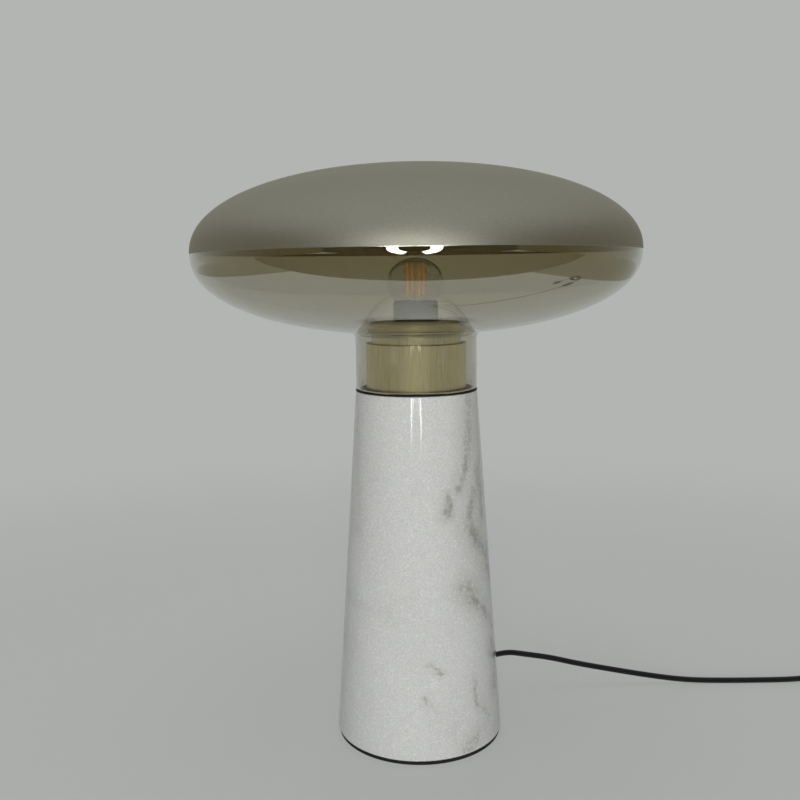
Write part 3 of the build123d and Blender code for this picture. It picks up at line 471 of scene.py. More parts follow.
def blown_shade_tree():
    """The shade's outside: two superellipse quarters that meet at the equator, an arc to the
    neck and the straight neck. Sections are chosen by the point's share along the outline."""
    graph, given = new_tree("Blown shade", {
        "Stations": ("NodeSocketInt", SHADE_STEPS + 1),
        "Turns": ("NodeSocketInt", SHADE_TURNS),
        **{label: ("NodeSocketFloat", None) for label in SHADE_SIZES},
        "Satin": ("NodeSocketMaterial", None),
        "Plated": ("NodeSocketMaterial", None),
    })
    grid, along, around = lathe_grid(graph, given["Stations"], given["Turns"])
    radius, equator, neck = given["Radius"], given["Equator"], given["Neck radius"]
    bowl, full, blend = given["Bowl drop"], given["Bowl fullness"], given["Neck blend"]

    # shares of the outline at which the sections end
    dome_end = DOME_STEPS / SHADE_STEPS
    bowl_end = (DOME_STEPS + BOWL_STEPS) / SHADE_STEPS
    blend_end = (DOME_STEPS + BOWL_STEPS + BLEND_STEPS) / SHADE_STEPS
    on_dome = (1 - along / dome_end).clamped()
    on_bowl = ((along - dome_end) / (bowl_end - dome_end)).clamped()
    on_blend = ((along - bowl_end) / (blend_end - bowl_end)).clamped()
    on_neck = ((along - blend_end) / (1 - blend_end)).clamped()

    turn = on_dome * (pi / 2)
    power = 2 / given["Dome fullness"]
    dome_r = radius * turn.math("COSINE").at_least(0.0) ** power
    dome_z = equator + given["Dome rise"] * turn.math("SINE").at_least(0.0) ** power

    # the blend's arc touches the bowl where the bowl's slope at the arc's centre says
    centre_r = neck + blend
    share = centre_r / radius
    level = 1 - share ** full
    slope = bowl / radius * share ** (full - 1) * level ** (1 / full - 1)
    lean = slope.math("ARCTANGENT")
    touch = centre_r - blend * lean.math("SINE")
    touch_z = equator - bowl * (1 - (touch / radius) ** full) ** (1 / full)
    centre_z = touch_z - blend * lean.math("COSINE")
    end = ((touch / radius) ** (full / 2)).math("ARCCOSINE")

    turn = on_bowl * end
    power = 2 / full
    bowl_r = radius * turn.math("COSINE").at_least(0.0) ** power
    bowl_z = equator - bowl * turn.math("SINE").at_least(0.0) ** power
    heading = lean + on_blend * (pi / 2 - lean)
    blend_r = centre_r - blend * heading.math("SINE")
    blend_z = centre_z + blend * heading.math("COSINE")
    neck_z = centre_z + on_neck * (given["Foot"] - centre_z)

    tiny = 1e-5
    past_dome = along.above(dome_end + tiny)
    past_bowl = along.above(bowl_end + tiny)
    past_blend = along.above(blend_end + tiny)

    def chosen(on_dome, on_bowl, on_blend, on_neck):
        result = on_dome + (on_bowl - on_dome) * past_dome
        result = result + (on_blend - result) * past_bowl
        return result + (on_neck - result) * past_blend

    surface = turned_surface(
        graph, grid, chosen(dome_r, bowl_r, blend_r, neck),
        chosen(dome_z, bowl_z, blend_z, neck_z), around,
    )
    inputs = {"Geometry": surface, "Material": given["Satin"]}
    satin = graph.node("GeometryNodeSetMaterial", {}, inputs)
    _, _, height = graph.node("GeometryNodeInputPosition").parts()
    plated = graph.node("GeometryNodeSetMaterial", {}, {
        "Geometry": satin, "Selection": height.below(equator), "Material": given["Plated"],
    })
    graph.node("NodeGroupOutput", {}, {0: plated})
    return graph.tree


def outline_mesh(name, spots):
    """A chain of (radius, height) points as a mesh of edges in the XZ plane."""
    mesh = bpy.data.meshes.new(name)
    points = [(r, 0.0, z) for r, z in spots]
    mesh.from_pydata(points, [(k, k + 1) for k in range(len(points) - 1)], [])
    return mesh


def turned(name, spots, material, turns):
    """A mesh that is turned from its outline."""
    values = {"Turns": turns, "Material": material}
    return baked(turned_outline_tree(), outline_mesh(name + "_outline", spots), values, name)


# --- Finishes -----------------------------------------------------------------------------


def marble_finish(stone):
    """White marble: a crystalline grain that sparkles, soft grey clouds, and smoky brown-grey
    veins that gather on one side."""
    f = Finish("veined marble")
    bend = f.drift(26.0, 4.0, 0.55, 0.016)
    ripple = f.drift(170.0, 5.0, 0.7, 0.014)
    spot = f.place.vector("ADD", bend).vector("ADD", ripple)
    patchy = f.noise(95.0, 5.0, 0.7)
    vein, haze = f.value(0.0), f.value(0.0)
    for start, end, width, strength in VEIN_STROKES:
        near = distance_to(spot, on_cone(*start), on_cone(*end))
        core = near.step(width * 1.2, width * 0.1) * patchy.step(0.34, 0.60)
        vein = vein.at_least(core * strength)
        haze = haze.at_least(near.step(width * 3.6, 0.0) * strength)
    # a faint net of veins through the whole stone
    warp = f.place.vector("ADD", bend.scaled(3.0))
    sheet = (f.noise(9.0, 2.0, 0.5, at=warp) - 0.5).size()
    thin = sheet.step(0.012, 0.0) * f.noise(7.0, 1.0).step(0.52, 0.66)
    cloud = f.noise(16.0, 5.0, 0.6, at=warp).step(0.50, 0.8)
    grain = f.noise(850.0, 3.0, 0.75)
    crystal = f.cell_colour(900.0).vector("DOT_PRODUCT", (0.34, 0.33, 0.33), out=1)
    sparkle = crystal.step(0.68, 0.84)
    tone = f.mix(grain.step(0.30, 0.68), toned(stone.white, 0.80), stone.white)
    tone = f.mix(cloud * 0.30, tone, stone.haze)
    tone = f.mix((haze * 0.50 + thin * 0.22).clamped(), tone, stone.haze)
    tone = f.mix((vein * 0.80 + thin * 0.20).clamped(), tone, stone.vein)
    tone = f.mix(sparkle * 0.45, tone, (0.92, 0.925, 0.91))
    return f.done(f.surface(
        Base_Color=tone,
        Roughness=0.05 + vein * 0.12 + grain * 0.04,
        IOR=1.52,
        Subsurface_Weight=0.05,
        Subsurface_Scale=0.003,
        Normal=f.bump(f.noise(20.0, 2.0) + grain * 0.02, 0.00015, 0.25),
    ))


def distance_to(spot, start, end):
    """Distance from a point to the line between two others."""
    way = end - start
    rel = spot.vector("SUBTRACT", tuple(start))
    share = (rel.vector("DOT_PRODUCT", tuple(way), out=1) / way.length_squared).clamped()
    foot = spot.graph.node(
        "ShaderNodeVectorMath", {"operation": "SCALE"}, {0: tuple(way), "Scale": share}
    )
    return rel.vector("SUBTRACT", foot).vector("LENGTH", out=1)


def on_cone(turn, height):
    """A point on the marble by its turn from the front towards the right, and its height."""
    stone = bpy.context.scene.lamp_stone
    low, high = low_z("marble_base"), high_z("marble_base")
    share = (height - low) / (high - low)
    radius = stone.foot_radius + (stone.top_radius - stone.foot_radius) * share
    return Vector((radius * sin(radians(turn)), -radius * cos(radians(turn)), height))


# veins as (turn, height) from, to, half width and strength: the turn is in degrees from the
# front to the right, the height in metres
VEIN_STROKES = [
    ((50, 0.286), (46, 0.258), 0.0045, 0.45),
    ((46, 0.258), (44, 0.238), 0.0055, 0.50),
    ((44, 0.238), (36, 0.212), 0.0040, 0.60),
    ((25, 0.206), (24, 0.194), 0.0042, 0.80),
    ((51, 0.208), (43, 0.184), 0.0055, 0.55),
    ((43, 0.184), (56, 0.166), 0.0070, 0.65),
    ((56, 0.166), (75, 0.135), 0.0075, 0.60),
    ((60, 0.225), (66, 0.185), 0.0060, 0.40),
    ((34, 0.134), (44, 0.126), 0.0060, 1.00),
    ((44, 0.126), (57, 0.113), 0.0050, 0.75),
    ((57, 0.113), (71, 0.096), 0.0035, 0.60),
    ((66, 0.083), (72, 0.066), 0.0045, 0.75),
    ((72, 0.066), (68, 0.044), 0.0040, 0.60),
    ((39, 0.058), (43, 0.038), 0.0026, 0.50),
    ((43, 0.038), (55, 0.026), 0.0024, 0.45),
    ((55, 0.026), (41, 0.014), 0.0026, 0.45),
    ((41, 0.014), (29, 0.008), 0.0040, 0.55),
    ((5, 0.080), (14, 0.071), 0.0018, 0.65),
    ((4, 0.053), (4, 0.050), 0.0022, 0.60),
    ((4, 0.046), (5, 0.030), 0.0012, 0.30),
    ((96, 0.250), (110, 0.170), 0.0060, 0.65),
    ((110, 0.170), (92, 0.080), 0.0050, 0.60),
    ((92, 0.080), (101, 0.020), 0.0035, 0.50),
    ((150, 0.270), (128, 0.180), 0.0050, 0.55),
    ((128, 0.180), (140, 0.100), 0.0060, 0.65),
    ((140, 0.100), (163, 0.045), 0.0030, 0.50),
    ((205, 0.210), (186, 0.150), 0.0040, 0.45),
    ((262, 0.120), (280, 0.080), 0.0035, 0.40),
]


def gold_finish(metal):
    """Champagne gold, brushed upright, a little darker where the coat is thin."""
    f = Finish("brushed champagne gold")
    x, y, z = f.place.parts()
    grain = f.noise(1.0, 4.0, 0.7, at=f.joined(x * 2600, y * 2600, z * 45))
    broad = f.noise(1.0, 3.0, 0.6, at=f.joined(x * 420, y * 420, z * 9))
    cloud = f.noise(34.0, 3.0)
    tone = f.mix(grain.step(0.3, 0.7), toned(metal.gold, 0.72), toned(metal.gold, 1.22))
    tone = f.mix(broad.step(0.35, 0.7) * 0.45, tone, metal.gold)
    return f.done(f.surface(
        Base_Color=tone,
        Metallic=1.0,
        Roughness=0.20 + grain * 0.16 + cloud * 0.05,
        Normal=f.bump(grain * 0.00003 + broad * 0.00002, 1.0, 0.5),
    ))


def satin_finish(shade):
    """Metal coat on etched glass: fine silvery grain on champagne grey, with a thin band where
    the etching stops that is smoother and painted paler, a painted highlight along the coat's
    edge."""
    f = Finish("satin champagne coat")
    grain = f.noise(1500.0, 2.0, 0.6)
    cloud = f.noise(11.0, 3.0, 0.5)
    _, _, height = f.place.parts()
    # the band just above the equator: really smoother, and painted paler as a painted highlight
    rim = height.step(shade.equator + 0.6 * MM, shade.equator + 0.3 * MM)
    tone = f.mix(grain.step(0.25, 0.75), toned(shade.satin, 0.90), toned(shade.satin, 1.12))
    tone = f.mix(rim, tone, (0.50, 0.48, 0.39))
    return f.done(f.surface(
        Base_Color=tone,
        Metallic=0.94,
        Roughness=(0.47 + grain * 0.08 + cloud * 0.04) * (1 - rim * 0.6),
        Specular_Tint=(0.60, 0.56, 0.46),
        Coat_Weight=0.6,
        Coat_Roughness=0.52,
        Normal=f.bump(grain, 0.00001, 0.4),
    ))


def lining_finish(shade):
    """The coat seen through the glass from inside: glossy bronze, faintly streaked."""
    f = Finish("bronze lining")
    streak = f.noise(18.0, 4.0, 0.6)
    return f.done(f.surface(
        Base_Color=f.mix(streak.step(0.3, 0.7), toned(shade.lining, 0.82), shade.lining),
        Metallic=1.0,
        Roughness=0.13 + streak * 0.08,
        Coat_Weight=0.5,
        Coat_Roughness=0.03,
    ))


def plated_finish(shade):
    """Half mirror on clear glass, thinner on the neck."""
    f = Finish("half-mirrored glass")
    film = f.noise(14.0, 3.0, 0.5)
    _, _, height = f.place.parts()
    bowl = shade.equator - shade.bowl_drop
    on_bowl = height.step(bowl - 6 * MM, bowl + 58 * MM)
    glass = f.surface(
        Base_Color=f.mix(on_bowl, (0.62, 0.61, 0.53), shade.amber), Roughness=0.0, IOR=1.5,
        Transmission_Weight=1.0,
    )
    mirror = f.surface(
        Base_Color=f.mix(film.step(0.3, 0.7), shade.mirror, toned(shade.mirror, 1.05)),
        Metallic=1.0,
        Roughness=0.02 + film * 0.015,
    )
    facing = shade.neck_share + on_bowl * (shade.mirror_share - shade.neck_share)
    rim = f.node("ShaderNodeLayerWeight", {}, {"Blend": 0.3}, out=1)
    share = facing + rim * (0.18 + on_bowl * 0.62 - facing)
    return f.done(f.lets_light_by(f.blend(share, glass, mirror), (0.86, 0.85, 0.78)))


def clear_finish(name, tint, shadow, gloss=0.0):
    """Clear glass, faintly wavy."""
    f = Finish(name)
    wave = f.noise(60.0, 2.0)
    glass = f.surface(
        Base_Color=tint, Roughness=0.0, IOR=1.5, Transmission_Weight=1.0,
        Coat_Weight=gloss, Coat_Roughness=0.0, Coat_IOR=1.7,
        Normal=f.bump(wave, 0.00002, 0.15),
    )
    return f.done(f.lets_light_by(glass, shadow))


def plastic_finish(name, tint, scale=1400.0, roughness=0.42):
    """Moulded plastic or rubber with a fine eroded texture and slight wear."""
    f = Finish(name)
    grain = f.noise(scale, 3.0, 0.6)
    wear = f.noise(45.0, 4.0, 0.6).step(0.52, 0.75)
    return f.done(f.surface(
        Base_Color=f.mix(wear * 0.5 + grain * 0.3, tint, toned(tint, 1.5, 0.01)),
        Roughness=roughness + grain * 0.14 - wear * 0.06,
        Normal=f.bump(grain, 0.00003, 0.5),
    ))


def metal_finish(name, tint, roughness=0.24):
    """Bright or plated metal with faint tool marks."""
    f = Finish(name)
    x, y, z = f.place.parts()
    across, along = 260.0, 2080.0
    marks = f.noise(1.0, 3.0, 0.6, at=f.joined(x * across, y * across, z * along))
    dull = f.noise(90.0, 3.0).step(0.45, 0.75)
    return f.done(f.surface(
        Base_Color=f.mix(dull * 0.5 + marks * 0.2, tint, toned(tint, 0.7)),
        Metallic=1.0,
        Roughness=roughness + marks * 0.1 + dull * 0.08,
        Normal=f.bump(marks, 0.00002, 0.4),
    ))


def matte_finish(name, tint, scale=500.0, roughness=0.6, glow=0.0):
    """A dry matte body such as phosphor, ceramic or board, mottled at a fine scale. A glow above
    0 is a painted glow in the body's own colour.
    """
    f = Finish(name)
    mottle = f.noise(scale, 3.0, 0.6)
    return f.done(f.surface(
        Base_Color=f.mix(mottle.step(0.3, 0.7), toned(tint, 0.75), tint),
        Roughness=roughness - mottle * 0.1,
        # painted glow: emission in the body's own colour, which makes the unlit filaments shine
        Emission_Color=tint,
        Emission_Strength=glow,
        Normal=f.bump(mottle, 0.00003, 0.4),
    ))


def jacket_finish(cord):
    """Black PVC jacket: satin gloss with fine lengthwise draw lines, read from its UV map."""
    f = Finish("cord jacket")
    track = f.node("ShaderNodeTexCoord", out=2)
    u, v, _ = track.parts()
    lines = f.noise(1.0, 3.0, 0.6, at=f.joined(u * 2.0, v * 60.0, 0.0))
    dust = f.noise(160.0, 4.0, 0.65).step(0.5, 0.8)
    pale = toned(cord.black, 3.0, 0.015)
    return f.done(f.surface(
        Base_Color=f.mix(dust * 0.25 + lines * 0.10, cord.black, pale),
        Specular_IOR_Level=0.35,
        Roughness=0.24 + lines * 0.12 + dust * 0.15,
        Normal=f.bump(lines, 0.00003, 0.4),
    ))


# --- Operators: one for each piece or group -----------------------------------------------


CAMERA_AT = Vector((-0.0308, -0.732, 0.379))
CAMERA_PITCH = 7.86  # degrees down
CAMERA_YAW = 1.36  # degrees to the right
CAMERA_ROLL = -0.7


class LAMP_OT_camera(bpy.types.Operator):
    """Set the camera where the lamp is looked at from the front, a little above the bulb"""
    bl_idname = "lamp.camera"
    bl_label = "Camera"

    def execute(self, context):
        data = bpy.data.cameras.new("camera")
        data.sensor_width = 36.0
        data.lens = context.scene.lamp_stage.focal
        camera = bpy.data.objects.new("camera", data)
        context.scene.collection.objects.link(camera)
        pitch, yaw, roll = radians(CAMERA_PITCH), radians(CAMERA_YAW), radians(CAMERA_ROLL)
        side = Vector((cos(yaw), -sin(yaw), 0.0))
        up = Vector((sin(yaw) * sin(pitch), cos(yaw) * sin(pitch), cos(pitch)))
        ahead = Vector((sin(yaw) * cos(pitch), cos(yaw) * cos(pitch), -sin(pitch)))
        right = side * cos(roll) + up * sin(roll)
        above = up * cos(roll) - side * sin(roll)
        turn = Matrix((right, above, -ahead)).transposed()
        camera.matrix_world = Matrix.Translation(CAMERA_AT) @ turn.to_4x4()
        context.scene.camera = camera
        return {"FINISHED"}


# the cord's route in metres: out of the bushing to the switch, on to the coil, and to the plug
CORD_EXIT = (0.06659, 0.05202, 0.0355)
SWITCH_LEVEL = 0.007
ROUTE_TO_SWITCH = [
    CORD_EXIT,
    (0.08150, 0.06360, 0.0346),
    (0.1010, 0.0669, 0.0302),
    (0.1240, 0.0667, 0.0266),
    (0.1500, 0.0667, 0.0200),
    (0.1840, 0.0656, 0.0136),
    (0.2160, 0.0648, 0.0078),
    (0.2470, 0.0634, 0.0036),
    (0.2740, 0.0626, 0.0025),
    (0.3100, 0.0612, 0.0025),
    (0.3410, 0.0606, 0.0026),
    (0.3630, 0.0614, 0.0032),
    (0.3780, 0.0620, SWITCH_LEVEL),
    (0.3940, 0.0620, SWITCH_LEVEL),
]
ROUTE_TO_COIL = [
    (0.4500, 0.0620, SWITCH_LEVEL),
    (0.4640, 0.0620, SWITCH_LEVEL),
    (0.4800, 0.0628, 0.0042),
    (0.4950, 0.0635, 0.0036),
]
ROUTE_TO_PLUG = [
    (0.4900, -0.0155, 0.0092),
    (0.4710, -0.0162, 0.0064),
    (0.4530, -0.0174, 0.0058),
    (0.4370, -0.0170, 0.0080),
    (0.4240, -0.0170, 0.0080),
]
COIL_AT = (0.514, 0.024)
COIL_RADIUS = 0.0395
COIL_PITCH = 0.0056
COIL_TURNS = 3
COIL_FLOOR = 0.0036
POINTS_IN_HALF_TURN = 8


def coil_route():
    """Half turns inwards on the floor, one that climbs, and outwards on top of them."""
    x, y = COIL_AT
    y += COIL_RADIUS
    inner = COIL_RADIUS - COIL_TURNS * COIL_PITCH
    inward = [COIL_RADIUS - COIL_PITCH * k / 2 for k in range(2 * COIL_TURNS)]
    outward = [inner + COIL_PITCH * k / 2 for k in range(1, 2 * COIL_TURNS + 1)]
    halves = [(r, 0.0) for r in inward] + [(inner, COIL_PITCH)] + [(r, 0.0) for r in outward]
    level, side, spots = COIL_FLOOR, 1, [(x, y, COIL_FLOOR)]
    for radius, climb in halves:
        middle = y - side * radius
        for k in range(1, POINTS_IN_HALF_TURN + 1):
            turn = pi * k / POINTS_IN_HALF_TURN
            spots.append((
                x + side * radius * sin(turn), middle + side * radius * cos(turn),
                level + climb * k / POINTS_IN_HALF_TURN,
            ))
        y = middle - side * radius
        level += climb
        side = -side
    return spots


class LAMP_OT_cord(bpy.types.Operator):
    """Lay the cord as one smooth curve: out of the bushing, through the switch and the coil"""
    bl_idname = "lamp.cord"
    bl_label = "Cord"

    def execute(self, context):
        cord = context.scene.lamp_cord
        curve = bpy.data.curves.new("cord", "CURVE")
        curve.dimensions = "3D"
        curve.bevel_depth = cord.diameter / 2
        curve.bevel_resolution = 5
        curve.resolution_u = 10
        curve.use_fill_caps = True
        spline = curve.splines.new("NURBS")
        route = ROUTE_TO_SWITCH + ROUTE_TO_COIL + coil_route() + ROUTE_TO_PLUG
        spline.points.add(len(route) - 1)
        for point, spot in zip(spline.points, route):
            point.co = (*spot, 1.0)
        spline.order_u = 3
        spline.use_endpoint_u = True
        curve.materials.append(jacket_finish(cord))
        replaced = ["cord_run", "cord_link", "cord_coil", "cord_tail"]
        piece = add_piece("cord", curve, "lamp", replaced)
        return {"FINISHED"}


class LAMP_OT_base(bpy.types.Operator):
    """Finish the marble cone and its foot pad"""
    bl_idname = "lamp.base"
    bl_label = "Marble base"

    def execute(self, context):
        dress(["marble_base"], marble_finish(context.scene.lamp_stone))
        dress(["foot_pad"], plastic_finish("foot pad rubber", (0.008, 0.008, 0.008), 800.0, 0.75))
        return {"FINISHED"}


class LAMP_OT_collar(bpy.types.Operator):
    """Finish the gold collar, its stepped cap and the seat ring under the glass"""
    bl_idname = "lamp.collar"
    bl_label = "Collar"

    def execute(self, context):
        rubber = plastic_finish("seat ring rubber", (0.010, 0.010, 0.010), 900.0, 0.5)
        dress(["collar", "collar_cap"], gold_finish(context.scene.lamp_metal))
        dress(["seat_ring"], rubber)
        return {"FINISHED"}


class LAMP_OT_holder(bpy.types.Operator):
    """Finish the lamp holder and the fasteners on the threaded tube"""
    bl_idname = "lamp.holder"
    bl_label = "Lamp holder"

    def execute(self, context):
        metal = context.scene.lamp_metal
        steel = metal_finish("plated steel", metal.steel)
        brass = metal_finish("bare brass", metal.brass, 0.3)
        plastic = plastic_finish("holder plastic", (0.035, 0.038, 0.046), 900.0, 0.4)
        insulation = plastic_finish("wire insulation", (0.16, 0.07, 0.03))
        dress(["holder_base", "holder_sleeve"], plastic)
        dress(["holder_core"], matte_finish("holder ceramic", (0.78, 0.76, 0.70)))
        dress(["holder_screw_shell", "holder_centre_contact", "switch_contacts"], brass)
        dress(["foot_washer", "spring_washer", "foot_nut", "threaded_tube"], steel)
        dress(["top_washer", "top_nut", "terminal_screws", "switch_screws"], steel)
        dress(["lead_wires", "switch_cores"], insulation)
        return {"FINISHED"}


class LAMP_OT_bulb(bpy.types.Operator):
    """Finish the filament bulb"""
    bl_idname = "lamp.bulb"
    bl_label = "Bulb"

    def execute(self, context):
        phosphor = context.scene.lamp_bulb.phosphor
        glass = clear_finish("bulb glass", (0.985, 0.985, 0.98), (0.94, 0.94, 0.93), 1.0)
        dress(["bulb_glass"], glass)
        dress(["bulb_stem"], clear_finish("stem glass", (0.97, 0.98, 0.97), (0.9, 0.9, 0.9)))
        # the unlit filaments get a faint painted glow (0.22) in the phosphor colour
        dress(["filaments"], matte_finish("phosphor", phosphor, 2500.0, 0.55, 0.22))
        dress(["filament_wires"], metal_finish("wire", (0.6, 0.58, 0.55)))
        dress(["bulb_cap", "bulb_tip"], metal_finish("cap metal", (0.78, 0.78, 0.78), 0.22))
        dress(["bulb_insulator"], matte_finish("black glass", (0.015, 0.015, 0.018), 300.0, 0.15))
        dress(["bulb_driver"], matte_finish("driver board", (0.05, 0.22, 0.09), 200.0, 0.4))
        return {"FINISHED"}


class LAMP_OT_shade(bpy.types.Operator):
    """Blow the glass shade: a satin dome over a half-mirrored bowl and neck"""
    bl_idname = "lamp.shade"
    bl_label = "Glass shade"

    def execute(self, context):
        shade = context.scene.lamp_shade
        satin, plated = satin_finish(shade), plated_finish(shade)
        lining = lining_finish(shade)
        clear = clear_finish("shade glass inside", (0.96, 0.955, 0.93), (0.9, 0.9, 0.86))
        values = {label: getattr(shade, key) for label, key in SHADE_SIZES.items()}
        values |= {
            "Stations": SHADE_STEPS + 1, "Turns": SHADE_TURNS, "Satin": satin, "Plated": plated
        }
        start = bpy.data.meshes.new("shade_start")
        mesh = baked(blown_shade_tree(), start, values, "shade")
        named = {slot.name: k for k, slot in enumerate(mesh.materials) if slot}
        on_bowl = [face.material_index == named[plated.name] for face in mesh.polygons]
        mesh.materials.clear()
        for finish in (satin, plated, lining, clear):
            mesh.materials.append(finish)
        for face, below in zip(mesh.polygons, on_bowl):
            face.material_index = int(below)
        turn_up(mesh, max(mesh.polygons, key=lambda face: face.center.z))
        replaced = ["shade_dome", "shade_bowl", "shade_neck"]
        piece = add_piece("shade", mesh, "shade", replaced)
        wall = piece.modifiers.new("Wall", "SOLIDIFY")
        wall.thickness = shade.wall
        wall.offset = -1.0
        wall.use_even_offset = True
        wall.material_offset = 2  # the lining behind the satin, clear glass behind the mirror
        return {"FINISHED"}


class LAMP_OT_fittings(bpy.types.Operator):
    """Finish the bushing, switch, plug and cord tie"""
    bl_idname = "lamp.fittings"
    bl_label = "Cord fittings"

    def execute(self, context):
        black = context.scene.lamp_cord.plastic
        plastic = plastic_finish("black plastic", black)
        dress(["cord_bushing", "switch_lower", "switch_upper", "plug_body"], plastic)
        dress(["switch_rocker"], plastic_finish("rocker plastic", black, 1800.0, 0.25))
        dress(["coil_tie"], plastic_finish("tie plastic", (0.02, 0.02, 0.02), 900.0, 0.35))
        dress(["inner_cord"], plastic_finish("inner cord", (0.012, 0.012, 0.013), 900.0, 0.35))
        dress(["plug_blades"], metal_finish("blade brass", (0.78, 0.72, 0.58), 0.2))
        return {"FINISHED"}


def stage_card(name, corners, finish, faces=None):
    """A card of the studio that only shows in mirrors."""
    mesh = bpy.data.meshes.new(name)
    mesh.from_pydata(corners, [], faces or [range(len(corners))])
    mesh.materials.append(finish)
    card = bpy.data.objects.new(name, mesh)
    bpy.context.scene.collection.objects.link(card)
    for kind in ("camera", "diffuse", "transmission", "shadow", "volume_scatter"):
        setattr(card, "visible_" + kind, False)


def glow(f, tint=(1.0, 1.0, 1.0), strength=1.0):
    """Makes a finish shine evenly."""
    inputs = {"Color": rgba(tint), "Strength": strength}
    return f.done(f.node("ShaderNodeEmission", {}, inputs))


def area_light(name, place, target, size, power):
    """A soft square panel that lights the lamp and isn't itself mirrored in it."""
    data = bpy.data.lights.new(name, "AREA")
    data.size, data.energy = size, power
    light = bpy.data.objects.new(name, data)
    bpy.context.scene.collection.objects.link(light)
    light.location = place
    light.rotation_mode = "QUATERNION"
    light.rotation_quaternion = (Vector(target) - Vector(place)).to_track_quat("-Z", "Y")
    light.visible_glossy = light.visible_transmission = False


# the soft panels: name, place, the spot that they face, width and power in watts
PANELS = [
    ("front panel", (-0.08, -2.3, 0.55), (0, 0, 0.22), 0.7, 30.0),
    ("back panel", (0.1, 2.4, 0.7), (0, 0, 0.22), 0.9, 10.0),
    ("top panel", (-0.1, 0.1, 2.2), (0, 0, 0.2), 1.8, 11.0),
]
FLOOR_RINGS = (0.0, 0.4, 1.0, 2.0, 3.2)
SWEEP_RADIUS = 1.2
BACKDROP_HEIGHT = 3.0
BACKDROP_TURNS = 96
EVEN_FROM, EVEN_TO = 0.40, 1.3  # distances at which the floor turns into the backdrop's tone
SKY = (0.95, 0.97, 1.0)
SKY_STRENGTH = 0.12

# the dim room: its floor lies in front of the pale floor that mirrors show and beyond its ends
ROOM_REACH = 2.6
PALE_FRONT = -0.28
PALE_RIGHT, PALE_RIGHT_FAR = 0.42, 1.4
PALE_LEFT, PALE_LEFT_FAR = -0.56, -1.6
ROOM_LIFT = 0.4 * MM
ROOM_WALL_HEIGHT = 1.9
SIDE_WALL_HEIGHT = 2.2
SIDE_WALL_BACK = 3.4
SIDES_PALER = 3.4
SIDES_FADE = (-1.5, 4.0)  # from the sides' own tone in front to the backdrop's behind

TUBE_AWAY = -2.0
TUBES = (("tube left", -0.41), ("tube right", 0.17))
TUBE_HALF_WIDTH = 0.02
TUBE_FOOT, TUBE_TOP = 0.08, 0.34
TUBE_FADE = (0.12, 0.25)
TUBE_STRENGTH = 24.0

RING_AT = (-0.035, -0.75, 0.395)
RING_INNER = 0.088
RING_OUTER = 0.150
RING_GAP = 25  # degrees of each side of its lowest point that stay open
RING_FACES = 48


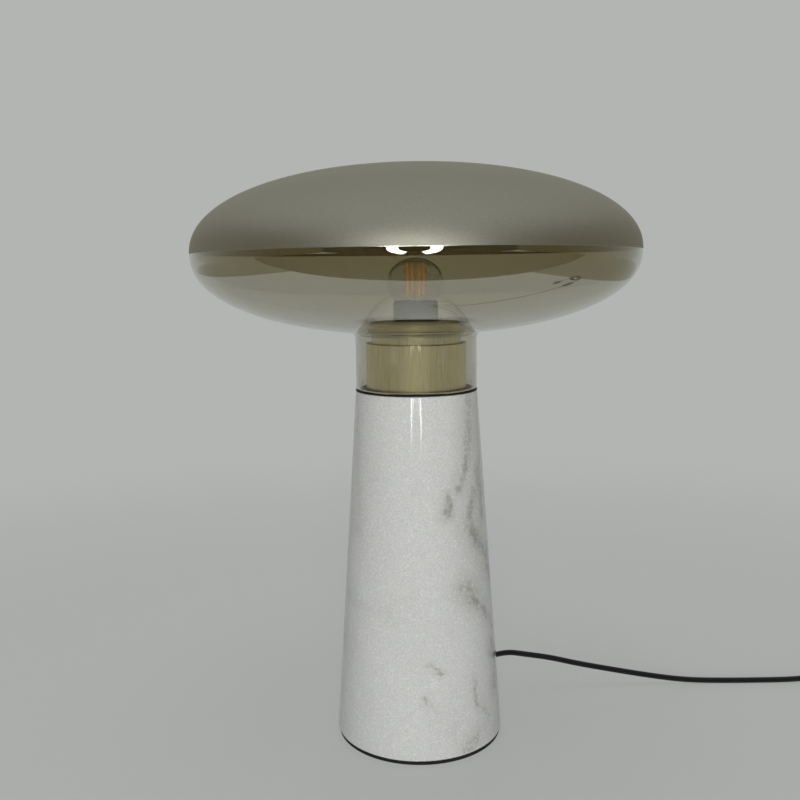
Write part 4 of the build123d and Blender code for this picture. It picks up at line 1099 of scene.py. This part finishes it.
class LAMP_OT_stage(bpy.types.Operator):
    """Set the plain pale floor, the world and the soft studio lights"""
    bl_idname = "lamp.stage"
    bl_label = "Stage"

    def execute(self, context):
        stage = context.scene.lamp_stage
        self.floor(stage)
        self.world(context, stage)
        self.cards(stage)
        for panel in PANELS:
            area_light(*panel)
        context.scene.view_settings.view_transform = "Standard"
        return {"FINISHED"}

    def floor(self, stage):
        """A round floor that curves up into a backdrop. Away from the lamp it has the
        backdrop's even tone in view and in mirrors, and near the lamp it is lit and shaded."""
        f = Finish("pale floor")
        lit = f.surface(
            Base_Color=f.mix(f.noise(2.0, 2.0), stage.floor, toned(stage.floor, 0.985)),
            Roughness=0.75,
            Specular_IOR_Level=0.2,
        )
        even = f.node("ShaderNodeEmission", {}, {"Color": rgba(tuple(stage.backdrop))})
        away = f.place.vector("LENGTH", out=1).step(EVEN_FROM, EVEN_TO)
        material = f.done(f.blend(f.seen() * (0.6 + away * 0.4), lit, even))
        edge = FLOOR_RINGS[-1]
        spots = [(r, 0.0) for r in FLOOR_RINGS]
        for turn in (radians(9 * k) for k in range(1, 11)):
            spots.append((edge + SWEEP_RADIUS * sin(turn), SWEEP_RADIUS * (1 - cos(turn))))
        spots.append((edge + SWEEP_RADIUS, BACKDROP_HEIGHT))
        mesh = turned("backdrop", spots, material, BACKDROP_TURNS)
        turn_up(mesh, min(mesh.polygons, key=lambda face: face.center.z))
        sweep = bpy.data.objects.new("backdrop", mesh)
        bpy.context.scene.collection.objects.link(sweep)

    def world(self, context, stage):
        world = bpy.data.worlds.new("studio")
        world.use_nodes = True
        context.scene.world = world
        w = Graph(world.node_tree)
        w.tree.nodes.clear()
        soft = w.node("ShaderNodeBackground", {}, {"Color": rgba(SKY), "Strength": SKY_STRENGTH})
        even = w.node("ShaderNodeBackground", {}, {"Color": rgba(tuple(stage.backdrop))})
        both = w.node("ShaderNodeMixShader", {}, {0: w.seen(), 1: soft, 2: even})
        w.node("ShaderNodeOutputWorld", {}, {0: both})

    def cards(self, stage):
        """What the glass and the gold mirror: the dim room in front of the pale floor and
        beyond its ends, and the front lights."""
        dim = glow(Finish("dim room"), tuple(stage.room))
        f = Finish("dim sides")
        _, deep, _ = f.place.parts()
        paler = toned(stage.room, SIDES_PALER)
        sides = glow(f, f.mix(deep.step(*SIDES_FADE), paler, tuple(stage.backdrop)))
        far, lift, top = ROOM_REACH, ROOM_LIFT, ROOM_WALL_HEIGHT
        stage_card("dim floor", [
            (-far, -far, lift), (far, -far, lift),
            (far, PALE_FRONT, lift), (-far, PALE_FRONT, lift),
        ], dim)
        stage_card("dim wall", [
            (-far, -far, 0.0), (-far, -far, top), (far, -far, top), (far, -far, 0.0),
        ], dim)
        stage_card("dim right", [
            (PALE_RIGHT, PALE_FRONT, lift), (far, PALE_FRONT, lift), (far, far, lift),
            (PALE_RIGHT_FAR, far, lift),
        ], sides)
        stage_card("dim left", [
            (-far, PALE_FRONT, lift), (PALE_LEFT, PALE_FRONT, lift), (PALE_LEFT_FAR, far, lift),
            (-far, far, lift),
        ], sides)
        top, back = SIDE_WALL_HEIGHT, SIDE_WALL_BACK
        for name, x in (("dim side right", far), ("dim side left", -far)):
            stage_card(name, [
                (x, -far, 0.0), (x, -far, top), (x, back, top), (x, back, 0.0),
            ], sides)
        self.tubes()
        self.ring(stage)

    def tubes(self):
        """Two upright light tubes far behind the camera, weaker towards their feet, that
        stand as two bright lines on the polished stone."""
        f = Finish("light tube")
        _, _, height = f.place.parts()
        shine = glow(f, strength=height.step(*TUBE_FADE) * TUBE_STRENGTH)
        for name, x in TUBES:
            left, right = x - TUBE_HALF_WIDTH, x + TUBE_HALF_WIDTH
            stage_card(name, [
                (left, TUBE_AWAY, TUBE_FOOT), (left, TUBE_AWAY, TUBE_TOP),
                (right, TUBE_AWAY, TUBE_TOP), (right, TUBE_AWAY, TUBE_FOOT),
            ], shine)

    def ring(self, stage):
        """A ring light round the camera, open below and weaker towards its lower ends."""
        x, y, z = RING_AT
        f = Finish("ring light")
        _, _, height = f.place.parts()
        fade = height.step(z - RING_OUTER, z - 0.2 * RING_OUTER)
        shine = glow(f, strength=(0.35 + fade * 0.65) * stage.ring)
        whole = 360 - 2 * RING_GAP
        turns = [radians(RING_GAP + whole * k / RING_FACES) for k in range(RING_FACES + 1)]
        spots = [
            (x + r * sin(turn), y, z - r * cos(turn))
            for turn in turns for r in (RING_INNER, RING_OUTER)
        ]
        faces = [(2 * k, 2 * k + 1, 2 * k + 3, 2 * k + 2) for k in range(RING_FACES)]
        stage_card("ring light", spots, shine, faces)


OPERATORS = [
    LAMP_OT_camera, LAMP_OT_cord, LAMP_OT_base, LAMP_OT_collar, LAMP_OT_holder, LAMP_OT_bulb,
    LAMP_OT_shade, LAMP_OT_fittings, LAMP_OT_stage,
]


class LAMP_PT_panel(bpy.types.Panel):
    """The lamp's pieces and the sizes and colours that they are made from"""
    bl_idname = "LAMP_PT_panel"
    bl_label = "Table lamp"
    bl_space_type = "VIEW_3D"
    bl_region_type = "UI"
    bl_category = "Lamp"

    def draw(self, context):
        for operator in OPERATORS:
            self.layout.operator(operator.bl_idname)
        for name, group in SETTINGS.items():
            box = self.layout.box()
            for key in group.__annotations__:
                box.prop(getattr(context.scene, name), key)


CLASSES = [*SETTINGS.values(), *OPERATORS, LAMP_PT_panel]


def register():
    for made in CLASSES:
        bpy.utils.register_class(made)
    for name, group in SETTINGS.items():
        setattr(bpy.types.Scene, name, PointerProperty(type=group))


def unregister():
    for name in SETTINGS:
        delattr(bpy.types.Scene, name)
    for made in reversed(CLASSES):
        bpy.utils.unregister_class(made)


def main():
    register()
    for operator in OPERATORS:
        group, call = operator.bl_idname.split(".")
        getattr(getattr(bpy.ops, group), call)()


if __name__ == "__main__":
    main()
